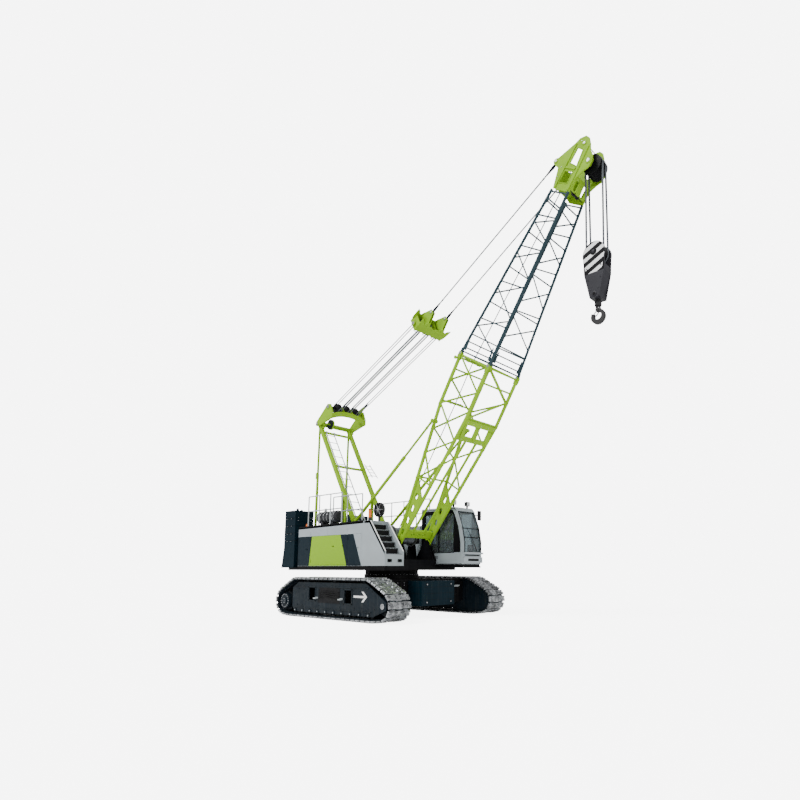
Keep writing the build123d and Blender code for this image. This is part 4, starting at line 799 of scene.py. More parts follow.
GREY_ENAMEL = Enamel("grey_enamel", (0.3, 0.34, 0.36), tone=0.05, dust=0.12, wear=0.1, lacquer=0.1)
LIME_COLOUR = (0.215, 0.4, 0.012)
TEAL_COLOUR = (0.002, 0.01, 0.016)
FINISHES = {
    Slot.LIME: Enamel("lime_enamel", LIME_COLOUR, roughness=0.55, tone=0.08, dust=0.08, wear=0.12,
                      shine=0.1),
    Slot.SLATE: Enamel("slate_enamel", (0.02, 0.042, 0.052), tone=0.1, dust=0.0, wear=0.05, shine=0.1),
    Slot.TEAL: Enamel("teal_enamel", TEAL_COLOUR, tone=0.1, dust=0.02, wear=0.08, shine=0.06),
    Slot.GREY: GREY_ENAMEL,
    Slot.BLACK: Enamel("black_enamel", (0.004, 0.004, 0.005), tone=0.1, dust=0.03, wear=0.1,
                       shine=0.06, bare=(0.08, 0.08, 0.08)),
    Slot.FRAME: Enamel("frame_enamel", (0.004, 0.009, 0.014), tone=0.15, dust=0.04, wear=0.15, shine=0.12),
    Slot.SHOE: Metal("shoe_steel", (0.52, 0.54, 0.56), roughness=0.32, patch=0.75, rust=0.1),
    Slot.BARE: Metal("bare_steel", (0.42, 0.43, 0.44)),
    Slot.ROPE: Strand("wire_rope", (0.19, 0.21, 0.23)),
    Slot.NYLON: Enamel("sheave_nylon", (0.003, 0.003, 0.004), roughness=0.5, wear=0.0, dust=0.0, shine=0.15),
    Slot.BLOCK: Enamel("block_enamel", (0.026, 0.026, 0.031), tone=0.08, dust=0.0, wear=0.1, shine=0.1),
    Slot.IRON: Metal("hook_iron", (0.004, 0.004, 0.005), roughness=0.6, metallic=0.1),
    Slot.GLASS: Clear("cab_glass", (0.46, 0.55, 0.58), 0.01, 0.92),
    Slot.CLOTH: Cloth("seat_cloth", (0.035, 0.03, 0.03)),
    Slot.ENGINE: Enamel("engine_enamel", (0.02, 0.021, 0.024), tone=0.12, dust=0.05, shine=0.2),
    Slot.RAIL: Enamel("rail_enamel", (0.34, 0.37, 0.38), tone=0.05, dust=0.08, wear=0.2),
    Slot.WHITE: Enamel("white_marking", (0.8, 0.81, 0.81), tone=0.03, dust=0.08, wear=0.1),
    Slot.AMBER: Clear("amber_lens", (0.95, 0.2, 0.02), 0.12, 0.35),
    Slot.LENS: Clear("lamp_lens", (0.9, 0.92, 0.92), 0.08, 0.4),
    Slot.LINING: Cloth("cab_lining", (0.1, 0.045, 0.025)),
    Slot.CHROME: Metal("mirror_silver", (0.75, 0.76, 0.78), roughness=0.12, patch=0.05),
    Slot.LIVERY: Livery("banded_livery", replace(GREY_ENAMEL, dust=0.03, wear=0.0, shine=0.12, lacquer=0.0),
                         LIME_COLOUR, TEAL_COLOUR),
}


@dataclass
class Studio:
    """The floor, the light and the camera that sees the crane as the photograph does."""

    eye: Triple = (15.412, -13.227, 1.619)
    yaw: float = 38.57
    pitch: float = 6.14
    focal: float = 558.66
    centre: Pair = (499.1, 507.8)
    frame_size: float = 800.0
    sensor: float = 36.0
    sky: float = 0.7
    wall: float = 7.0
    floor_glow: float = 5.55

    def build(self) -> None:
        """Makes the floor, the lights and the camera."""
        self.camera()
        self.floor()
        self.lights()

    def camera(self) -> None:
        """Places the camera."""
        data = bpy.data.cameras.new("photo_camera")
        data.sensor_width = self.sensor
        data.lens = self.sensor * self.focal / self.frame_size
        data.shift_x = -(self.centre[0] - self.frame_size / 2) / self.frame_size
        data.shift_y = (self.centre[1] - self.frame_size / 2) / self.frame_size
        data.clip_end = 500.0
        yaw, pitch = radians(self.yaw), radians(self.pitch)
        right = Vector((cos(yaw), sin(yaw), 0))
        level = Vector((-sin(yaw), cos(yaw), 0))
        ahead = level * cos(pitch) + Vector((0, 0, sin(pitch)))
        up = right.cross(ahead)
        camera = bpy.data.objects.new("photo_camera", data)
        turn = Matrix((right, up, -ahead)).transposed().to_4x4()
        camera.matrix_world = Matrix.Translation(self.eye) @ turn
        bpy.context.scene.collection.objects.link(camera)
        bpy.context.scene.camera = camera

    def floor(self) -> None:
        """Lays a wide pale floor with a faint mottle."""
        weave = Weave("floor_paint")
        weave.colour(weave.blend(weave.noise(0.8, 4.0), (0.92, 0.92, 0.92), (0.95, 0.95, 0.95)))
        weave.fixed(Roughness=0.85, Emission_Color=(1.0, 1.0, 1.0, 1.0))
        seen = weave.node("ShaderNodeLightPath").outputs["Is Camera Ray"]
        weave.join(weave.sum("MULTIPLY", seen, self.floor_glow), weave.shader.inputs["Emission Strength"])
        mesh = bpy.data.meshes.new("floor")
        reach = 260.0
        mesh.from_pydata([(-reach, -reach, 0), (reach, -reach, 0), (reach, reach, 0), (-reach, reach, 0)],
            [], [(0, 1, 2, 3)])
        mesh.materials.append(weave.material)
        floor = bpy.data.objects.new("floor", mesh)
        bpy.context.scene.collection.objects.link(floor)

    def lights(self) -> None:
        """Sets a bright sky and one broad soft light from the photograph's left."""
        world = bpy.data.worlds.new("studio_sky")
        world.use_nodes = True
        nodes, links = world.node_tree.nodes, world.node_tree.links
        sky = nodes["Background"]
        sky.inputs["Color"].default_value = (1.0, 1.0, 1.0, 1.0)
        sky.inputs["Strength"].default_value = self.sky
        wall = nodes.new("ShaderNodeBackground")
        wall.inputs["Color"].default_value = (1.0, 1.0, 1.0, 1.0)
        wall.inputs["Strength"].default_value = self.wall
        seen, choice = nodes.new("ShaderNodeLightPath"), nodes.new("ShaderNodeMixShader")
        links.new(seen.outputs["Is Camera Ray"], choice.inputs[0])
        links.new(sky.outputs[0], choice.inputs[1])
        links.new(wall.outputs[0], choice.inputs[2])
        links.new(choice.outputs[0], nodes["World Output"].inputs["Surface"])
        bpy.context.scene.world = world
        lamps = (("key", -112, 48, 3.4, 25), ("fill", -20, 20, 1.5, 60))
        for name, azimuth, height, strength, spread in lamps:
            data = bpy.data.lights.new(name, "SUN")
            data.energy = strength
            data.angle = radians(spread)
            sun = bpy.data.objects.new(name, data)
            around, up = radians(azimuth), radians(height)
            towards = Vector((cos(around) * cos(up), sin(around) * cos(up), sin(up)))
            sun.rotation_euler = towards.to_track_quat("Z", "Y").to_euler()
            bpy.context.scene.collection.objects.link(sun)


@dataclass
class Crawlers:
    """The shoes of both tracks and what is bolted to their frames."""

    middle: float = 2.2325
    wheel: Pair = (2.57, 0.5)
    pitch: float = 0.4
    shoes: int = 54
    depth: float = 0.066
    low_run: float = 2.2
    high_run: float = 1.95
    height: float = 1.317
    half_width: float = 0.42
    face_reach: float = 0.3
    # Where the dark end plates, partly painted shade inside the track, begin.
    shade_plate_start: float = 1.15
    grousers: tuple[tuple[float, float, float, float], ...] = (
        (0.285, 0.415, 0.03, 0.115), (0.145, 0.275, 0.105, 0.192), (0.285, 0.415, 0.15, 0.192))

    def loop(self) -> list[Pair]:
        """The pins of one track's links, seen from the side."""
        low, high = (self.low_run, self.depth), (self.high_run, self.height - self.depth)

        def leave(point: Pair, turn: int) -> float:
            """The angle at which a straight run meets the wheel."""
            run = (point[0] - self.wheel[0], point[1] - self.wheel[1])
            return atan2(run[1], run[0]) + turn * acos(self.pitch / hypot(*run))

        first, last = leave(low, 1), leave(high, -1)
        turns = [first + (last - first) * step / 60 for step in range(61)]
        half = [(0, self.depth), low]
        half += [(self.wheel[0] + self.pitch * cos(turn), self.wheel[1] + self.pitch * sin(turn))
            for turn in turns]
        half += [high, (0, high[1])]
        path = half + [(-x, z) for x, z in reversed(half[1:-1])] + [half[0]]
        steps = [dist(a, b) for a, b in zip(path, path[1:])]
        whole = sum(steps)
        pins = []
        index, walked = 0, 0.0
        for link in range(self.shoes):
            goal = whole * link / self.shoes
            while walked + steps[index] < goal:
                walked += steps[index]
                index += 1
            share = (goal - walked) / steps[index]
            (x0, z0), (x1, z1) = path[index], path[index + 1]
            pins.append((x0 + share * (x1 - x0), z0 + share * (z1 - z0)))
        return pins

    def build(self) -> None:
        """Makes both sides."""
        for name, sign in (("left", 1), ("right", -1)):
            self.track(name, sign)
            self.trim(name, sign)
            self.hubs(name, sign)

    def track(self, name: str, sign: int) -> None:
        """Casts every shoe: a plate with staggered grousers outside and two link rails inside."""
        pins = self.loop()
        shoes, links = Form(), Form()
        middle = sign * self.middle
        for index, pin in enumerate(pins):
            after = pins[(index + 1) % self.shoes]
            run = Vector((after[0] - pin[0], 0, after[1] - pin[1]))
            length = run.length
            along = run.normalized()
            out = Vector((along.z, 0, -along.x))
            face = Face((pin[0], middle, pin[1]), along, (0, 1, 0), out)
            shoes.pad(face, (0.024, length - 0.024), (-self.half_width, self.half_width), (-0.004, 0.036))
            shoes.pad(face, (0.006, 0.03), (-0.11, 0.11), (-0.02, 0.006))
            shoes.pad(face, (length - 0.03, length - 0.006), (-0.34, -0.15), (-0.02, 0.006))
            shoes.pad(face, (length - 0.03, length - 0.006), (0.15, 0.34), (-0.02, 0.006))
            for low, high, start, end in self.grousers:
                for side in (-1, 1):
                    across = span(side, low, high)
                    shoes.pad(face, (start, end), across, (0.036, self.depth))
            links.pad(face, (-0.004, length + 0.004), (-0.37, 0.37), (-0.022, -0.006))
            for side in (-1, 1):
                links.pad(face, (-0.008, length + 0.008), span(side, 0.19, 0.235), (-0.04, -0.004))
                for spot in (0.07, 0.155):
                    links.stud(face, spot, side * 0.075, 0.014, 0.012, 6, 0.036)
        made = shoes.piece(f"track_shoes_{name}", Slot.SHOE, "undercarriage", 0.005)
        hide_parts(f"track_{name}")
        links.piece(f"track_links_{name}", Slot.FRAME, "undercarriage")

    def trim(self, name: str, sign: int) -> None:
        """Frames the windows, caps the rollers and adds steps, hoses, the travel arrow and dark end plates
        that are partly painted shade.
        """
        face = flank(sign, self.middle + self.face_reach)
        frame, dark, pale, white = Form(), Form(), Form(), Form()
        inner = Face((0, sign * (self.middle - self.face_reach), 0), (1, 0, 0), (0, 0, 1), (0, -sign, 0))
        centre = self.height / 2
        # At both ends a plate in the dark frame paint fills the loop on the inner side: partly solid frame,
        # partly painted shade inside the track.
        for end in (-1, 1):
            guard = [(end * x * 0.985, centre + (z - centre) * 0.95) for x, z in self.loop()
                if x > self.shade_plate_start]
            frame.sheet(inner, guard, (0.002, 0.01))
        for x, z in ((-0.99, 0.775), (0.93, 0.73)):
            for shift in (-0.195, 0.195):
                frame.pad(face, (x + shift - 0.02, x + shift + 0.02), (z - 0.24, z + 0.24), (-0.001, 0.012))
            for shift in (-0.22, 0.22):
                frame.pad(face, (x - 0.215, x + 0.215), (z + shift - 0.02, z + shift + 0.02),
                    (-0.001, 0.012))
        dark.pad(face, (-0.62, 0.52), (0.5, 0.98), (-0.001, 0.004))
        for z in (0.86, 0.8, 0.74, 0.68):
            path = [face.at(-0.6, z, 0.02), face.at(-0.2, z + 0.02, 0.028), face.at(0.2, z - 0.02, 0.028),
                face.at(0.5, z, 0.02)]
            dark.tube(rounded(path, 0.12), 0.012, 8)
        for index in range(10):
            x = -1.935 + 0.43 * index
            frame.stud(face, x, 0.217, 0.062, 0.022, 20)
            pale.stud(face, x, 0.217, 0.022, 0.012, 6, 0.022)
        frame.pad(face, (-1.95, 1.95), (1.005, 1.03), (-0.001, 0.03))
        frame.pad(face, (-2.05, 2.05), (0.3, 0.325), (-0.001, 0.02))
        for x in (-0.71, 0.61):
            pale.pad(face, (x - 0.07, x + 0.07), (0.62, 0.66), (0.004, 0.1))
            pale.pad(face, (x - 0.07, x + 0.07), (0.66, 0.68), (0.004, 0.02))
        for x in (-1.85, -1.55, -0.6, 0.5, 1.25, 1.6, 1.9, 2.2):
            for z in (0.4, 0.92):
                frame.stud(face, x if z < 0.6 else x * 0.95, z, 0.02, 0.014)
        bar, tip, tail, level = 0.03, 1.86, 1.22, 0.75
        white.pad(face, (tail, tip - 0.12), (level - bar, level + bar), (0, 0.005))
        for side in (-1, 1):
            white.sheet(face, [(tip, level), (tip - 0.09, level), (tip - 0.26, level + side * 0.155),
                (tip - 0.17, level + side * 0.155)], (0, 0.006))
        frame.piece(f"frame_trim_{name}", Slot.FRAME, "undercarriage", 0.003)
        dark.piece(f"frame_hoses_{name}", Slot.NYLON, "undercarriage")
        pale.piece(f"frame_steps_{name}", Slot.RAIL, "undercarriage", 0.002)
        white.piece(f"travel_arrow_{name}", Slot.WHITE, "undercarriage", slot=Slot.GREY)

    def hubs(self, name: str, sign: int) -> None:
        """Bolts the sprocket's hub and caps the idler's axle."""
        hub = flank(sign, self.middle + 0.33)
        middle = (-self.wheel[0], self.wheel[1])
        bolts = Form().ring(hub, middle, 0.215, 16, 0.016, 0.012)
        bolts.ring(hub, middle, 0.07, 6, 0.012, 0.01, 6, 0.03)
        bolts.piece(f"sprocket_bolts_{name}", Slot.BARE, f"sprocket_{name}")
        face = flank(sign, self.middle + self.face_reach)
        cap = Form().stud(face, *self.wheel, 0.085, 0.02, 24)
        cap.ring(face, self.wheel, 0.06, 6, 0.01, 0.008, 6, 0.02)
        cap.piece(f"idler_cap_{name}", Slot.BARE, f"idler_{name}")


@dataclass
class Carbody:
    """The carbody's fasteners, its weights' seams and eyes, and the bolts round the slew ring."""

    beam_x: float = 1.26
    beam_half: float = 0.38
    weight: Pair = (1.64, 2.36)
    weight_half: float = 0.75
    ring_bolts: int = 48

    def build(self) -> None:
        """Dresses the carbody."""
        bolts, plates, eyes, pale = Form(), Form(), Form(), Form()
        top = Face((0, 0, 1.39), (1, 0, 0), (0, 1, 0), (0, 0, 1))
        bolts.ring(top, (0, 0), 0.936, self.ring_bolts, 0.011, 0.014)
        for end in (-1, 1):
            front = facing(end, end * self.weight[1])
            for z in (0.6, 0.8, 1.0):
                plates.pad(front, (-self.weight_half + 0.05, self.weight_half - 0.05),
                    (z - 0.004, z + 0.004), (-0.006, 0.002))
                for sign in (-1, 1):
                    side = flank(sign, self.weight_half)
                    across = span(end, self.weight[0] + 0.05, self.weight[1] - 0.05)
                    plates.pad(side, across, (z - 0.004, z + 0.004), (-0.006, 0.002))
            for y in (-0.55, 0.55):
                for z in (0.52, 1.09):
                    bolts.stud(front, y, z, 0.026, 0.016)
                    plates.stud(front, y, z, 0.045, 0.006, 20)
            for y in (-0.45, 0.45):
                x = end * 2.0
                loop = arc((x, y, 1.19), (0.07, 0, 0), (0, 0, 0.09), -20, 200, 10)
                eyes.tube(loop, 0.014, 8)
            beam = facing(end, end * (self.beam_x + self.beam_half))
            for sign in (-1, 1):
                low, high = span(sign, 0.86, 1.22)
                plates.pad(beam, (low, high), (0.5, 1.18), (-0.001, 0.016))
                for y in (low + 0.04, high - 0.04):
                    for z in (0.55, 0.72, 0.89, 1.06, 1.14):
                        bolts.stud(beam, y, z, 0.018, 0.014, 6, 0.015)
                pale.pad(beam, span(sign, 1.45, 1.68), (0.98, 1.02), (0, 0.075))
                pale.pad(beam, span(sign, 1.45, 1.68), (0.95, 0.98), (0, 0.018))
                plates.tube(rounded([(end * 1.665, sign * 0.8, 1.16), (end * 1.675, sign * 1.2, 1.215),
                    (end * 1.66, sign * 1.6, 1.1), (end * 1.6, sign * 1.9, 1.05)], 0.1), 0.014, 8)
        plates.piece("carbody_plates", Slot.BLACK, "undercarriage", 0.002)
        bolts.piece("carbody_bolts", Slot.BARE, "undercarriage")
        eyes.piece("weight_lifting_eyes", Slot.BLACK, "undercarriage")
        pale.piece("carbody_steps", Slot.RAIL, "undercarriage", 0.002)


@dataclass
class Houses:
    """The houses' doors' fittings, trims, louvres, stairs and everything on their roofs."""

    face: float = 1.7295
    rear: float = -3.21
    roof_rear: float = 3.095
    roof_top: float = 3.155
    right_front: float = 0.56
    left_front: float = 0.42
    right_doors: tuple[Pair, ...] = ((-3.15, -2.48), (-2.42, -0.32), (-0.26, 0.46))
    door_rise: Pair = (1.725, 2.74)
    inner: float = 0.9395

    def roof(self, x: float, front: float) -> float:
        """Height of a roof at a distance from the origin."""
        return self.roof_top - (self.roof_top - self.roof_rear) * (front - x) / (front - self.rear)

    def strip(self, front: float, low: float, high: float, inset: float = 0.0) -> list[Pair]:
        """A strip along the sloping edge of a roof.

        Args:
            front: The front end of the house.
            low: Lower side of the strip, above the edge.
            high: Upper side of the strip, above the edge.
            inset: How far it ends short of the house's ends.

        Returns:
            Its outline, seen from the side.
        """
        rear, front = self.rear + inset, front - inset
        return [(rear, self.roof_rear + low), (front, self.roof_top + low),
                (front, self.roof_top + high), (rear, self.roof_rear + high)]

    def build(self) -> None:
        """Dresses both houses."""
        self.trims()
        self.doors()
        self.louvres()
        self.stairs()
        self.roofs()
        self.deck_edge()

    def trims(self) -> None:
        """Runs the dark roof edge, the pale strip below it and the panel seams."""
        dark, pale = Form(), Form()
        for sign, front in ((-1, self.right_front), (1, self.left_front)):
            side = flank(sign, self.face)
            dark.sheet(side, self.strip(front, -0.075, -0.032), (-0.002, 0))
            lip = flank(sign, self.face - 0.031)
            dark.sheet(lip, self.strip(front, -0.035, 0.02), (-0.02, 0.031))
            pale.sheet(side, self.strip(front, -0.19, -0.078, 0.02), (-0.006, -0.0004))
            for x in (-2.45, -1.4, -0.29):
                level = self.roof(x, front)
                dark.pad(side, (x - 0.003, x + 0.003), (2.76, level - 0.2), (-0.003, 0))
            wall = Face((0, sign * self.inner, 0), (1, 0, 0), (0, 0, 1), (0, -sign, 0))
            for x in (-2.9, -2.2, -1.5, -0.8, -0.1):
                dark.pad(wall, (x, x + 0.5), (2.5, 2.9), (-0.001, 0.006))
        dark.piece("house_seams", Slot.BLACK, "upper")
        pale.piece("house_top_strips", Slot.RAIL, "upper", slot=Slot.GREY)

    def doors(self) -> None:
        """Puts handles, hinges and rubber round the doors."""
        sets = [("rear_right", -1, self.right_doors[0]), ("middle_right", -1, self.right_doors[1]),
                ("front_right", -1, self.right_doors[2]), ("middle_left", 1, self.right_doors[1])]
        for name, sign, (rear, front) in sets:
            side = flank(sign, self.face)
            pale, dark = Form(), Form()
            narrow = front - rear < 1
            z = 2.28 if narrow else 2.36
            for x in [front - 0.16] if narrow else [front - 0.75, front - 0.2]:
                dark.pad(side, (x - 0.055, x + 0.055), (z - 0.035, z + 0.035), (-0.008, -0.0005))
                pale.pad(side, (x - 0.042, x + 0.042), (z - 0.02, z + 0.02), (-0.006, 0))
            for z in (1.86, 2.6):
                dark.pad(side, (rear + 0.012, rear + 0.03), (z - 0.06, z + 0.06), (-0.006, 0))
            edge = 0.006
            low, high = self.door_rise
            for across, rise in (((rear - edge, rear), (low - edge, high + edge)),
                    ((front, front + edge), (low - edge, high + edge)), ((rear, front), (low - edge, low)),
                    ((rear, front), (high, high + edge))):
                dark.pad(side, across, rise, (-0.03, -0.008))
            pale.piece(f"door_grips_{name}", Slot.RAIL, f"door_{name}", 0.002)
            dark.piece(f"door_seals_{name}", Slot.BLACK, f"door_{name}")

    def louvres(self) -> None:
        """Slants a blade in every air vent and stiffens the cab-side wall."""
        blades = Form()
        for index in range(7):
            low = 1.855 + 0.13 * index
            for x in (-0.19, 0.08):
                points = [(1.7, low + 0.006), (1.728, low + 0.03), (1.728, low + 0.044), (1.69, low + 0.02)]
                blades.loft([[(x + shift, y, z) for y, z in points] for shift in (0.004, 0.262)])
            blades.box((-0.196, 1.7, low), (-0.19, 1.7285, low + 0.05))
            blades.box((0.35, 1.7, low), (0.356, 1.7285, low + 0.05))
        blades.piece("vent_blades", Slot.BLACK, "upper")

    def stairs(self) -> None:
        """Lays black treads, white stringers and reflectors on the nose."""
        treads, white, nosing, dark = Form(), Form(), Form(), Form()
        low_y, high_y = -1.676, -0.992
        levels = [(1.423, 1.655, 2.0506), (1.2714, 1.44, 2.2514), (1.1198, 1.288, 2.4522),
            (0.9682, 1.137, 2.653), (0.8166, 0.985, 2.8538)]
        for rear, front, level in levels:
            treads.box((rear, low_y, level), (front, high_y, level + 0.014))
            nosing.box((front - 0.016, low_y + 0.01, level + 0.002), (front, high_y - 0.01, level + 0.018))
            dark.box((rear - 0.004, low_y + 0.006, level + 0.02),
                (rear + 0.004, high_y - 0.006, level + 0.19))
            for row in range(5):
                x = rear + 0.03 + row * (front - rear - 0.06) / 4
                treads.box((x - 0.004, low_y + 0.03, level + 0.014),
                    (x + 0.004, high_y - 0.03, level + 0.019))
        for sign, y in ((-1, -self.face), (1, -0.9395)):
            outer = Face((0, y, 0), (1, 0, 0), (0, 0, 1), (0, sign, 0))
            slope = [(0.6, 3.152), (0.905, 3.152), (1.661, 2.152), (1.661, 2.03),
                (0.86, 3.075), (0.6, 3.075)]
            white.sheet(outer, slope, (-0.004, 0.0 if sign < 0 else 0.004))
        for y in (-1.705, -0.964):
            cover = [(0.6, 3.1555), (0.907, 3.1555), (1.6625, 2.1535), (1.6625, 2.14),
                (0.9, 3.15), (0.6, 3.15)]
            white.loft([[(x, y + step, z) for x, z in cover] for step in (-0.024, 0.024)])
        treads.piece("stair_treads", Slot.BLACK, "upper", 0.002)
        dark.box((0.812, low_y + 0.006, 3.06), (0.822, high_y - 0.006, 3.15))
        dark.piece("stair_shadow_gaps", Slot.NYLON, "upper", slot=Slot.BLACK)
        nosing.piece("stair_nosings", Slot.RAIL, "upper", 0.002)
        white.piece("stair_stringers", Slot.WHITE, "upper", 0.002, slot=Slot.GREY)
        front = facing(1, 1.663)
        lamp = Form()
        lamp.pad(front, (-1.62, -1.44), (1.8, 1.9), (-0.004, 0))
        lamp.pad(front, (-1.2, -1.02), (1.8, 1.9), (-0.004, 0))
        lamp.piece("nose_reflectors", Slot.BLACK, "upper")

    def roofs(self) -> None:
        """Adds the muffler's bands, the lamps' lenses, tread plates and the cable on its reel."""
        bands, plates, spokes = Form(), Form(), Form()
        centre = Vector((0, -1.35, 3.432))
        for x in (-2.36, -2.16, -1.96, -1.77, -1.57, -1.37):
            bands.hoop(arc(centre + Vector((x, 0, 0)), (0, 0.214, 0), (0, 0, 0.214), 0, 360,
                36)[:-1], 0.01, 6)
        for x in (-2.26, -1.47):
            profile = [(-0.03, 0.21), (-0.03, 0.218), (0.03, 0.218), (0.03, 0.21)]
            bands.spin(centre + Vector((x, 0, 0)), (1, 0, 0), profile, 36)
        pipe = Vector((-2.12, -1.35, 3.432))
        bands.spin(pipe + Vector((0, 0, 0.2)), (0, 0, 1), [(0, 0.065), (0.03, 0.065), (0.03, 0.047),
            (0.12, 0.047)], 24)
        bands.piece("muffler_bands", Slot.BARE, "upper")
        for sign, front in ((-1, self.right_front), (1, self.left_front)):
            for start in (-3.0, -2.1, -1.2, -0.3):
                low_y, high_y = span(sign, 1.02, 1.56)
                corners = [(start, low_y), (start + 0.8, low_y), (start + 0.8, high_y), (start, high_y)]
                plates.loft([[(x, y, self.roof(x, front) + lift) for x, y in corners]
                    for lift in (0, 0.008)])
                for row in range(7):
                    for column in range(5):
                        x = start + 0.06 + row * 0.113
                        y = low_y + 0.06 + column * 0.105
                        level = self.roof(x, front) + 0.008
                        plates.spin((x, y, level), (0, 0, 1), [(0, 0.014), (0.004, 0.009)], 6)
        plates.piece("roof_tread_plates", Slot.BLACK, "upper")
        glow = Form().spin((0.72, -1.6, 3.262), (0, 0, 1), [(0, 0.054), (0.02, 0.056), (0.03, 0.052),
            (0.09, 0.052), (0.1, 0.055), (0.11, 0.052), (0.17, 0.052), (0.18, 0.055), (0.19, 0.052),
            (0.26, 0.05), (0.285, 0.04), (0.293, 0.02), (0.293, 0)], 28)
        glow.piece("beacon_lens", Slot.AMBER, "upper", crease=60, slot=Slot.GLASS)
        small = Form().spin((-3.02, -1.52, 3.09), (0, 0, 1),
            [(0, 0.045), (0.03, 0.045), (0.035, 0.038), (0.12, 0.036), (0.145, 0.02), (0.147, 0)], 24)
        small.piece("roof_side_lamp", Slot.AMBER, "upper", crease=60, slot=Slot.GLASS)
        reel = Vector((0.47, -1.01, 3.58))
        coil = Form()
        for turn in range(9):
            radius = 0.13 + 0.012 * turn
            for side in (0.051, -0.051):
                coil.hoop(arc(reel + aside(side), (radius, 0, 0), (0, 0, radius), 0, 360,
                    32)[:-1], 0.0055, 6)
        for index in range(6):
            turn = 2 * pi * index / 6
            out = Vector((cos(turn), 0, sin(turn)))
            for side in (-0.05, 0.05):
                spokes.tube([reel + out * 0.04 + aside(side), reel + out * 0.24 + aside(side)], 0.009, 6)
        spokes.spin(reel, (0, 1, 0), [(-0.075, 0.03), (-0.07, 0.045), (0.07, 0.045), (0.075, 0.03)], 20)
        coil.piece("reel_cable", Slot.NYLON, "upper")
        spokes.piece("reel_spokes", Slot.BARE, "upper")

    def deck_edge(self) -> None:
        """Bolts the drum stands and sets flush plugs along the deck's edge."""
        bolts, dark = Form(), Form()
        for x, z in ((0.43, 2.74), (-0.48, 2.56), (-1.9, 2.4)):
            for sign in (-1, 1):
                cheek = flank(sign, 0.55)
                bolts.ring(cheek, (x, z), 0.088, 8, 0.009, 0.009)
                for shift in (-0.19, -0.1, 0.1, 0.19):
                    bolts.stud(cheek, x + shift, 1.95, 0.015, 0.012)
                dark.pad(cheek, (x - 0.24, x + 0.24), (1.9, 1.925), (-0.001, 0.05))
        for sign in (-1, 1):
            edge = flank(sign, self.face)
            for x in range(-30, 14, 4):
                bolts.stud(edge, x / 10, 1.6, 0.012, 0, 6)
        dark.piece("drum_stand_feet", Slot.BLACK, "upper", 0.002)
        bolts.piece("deck_bolts", Slot.BARE, "upper")


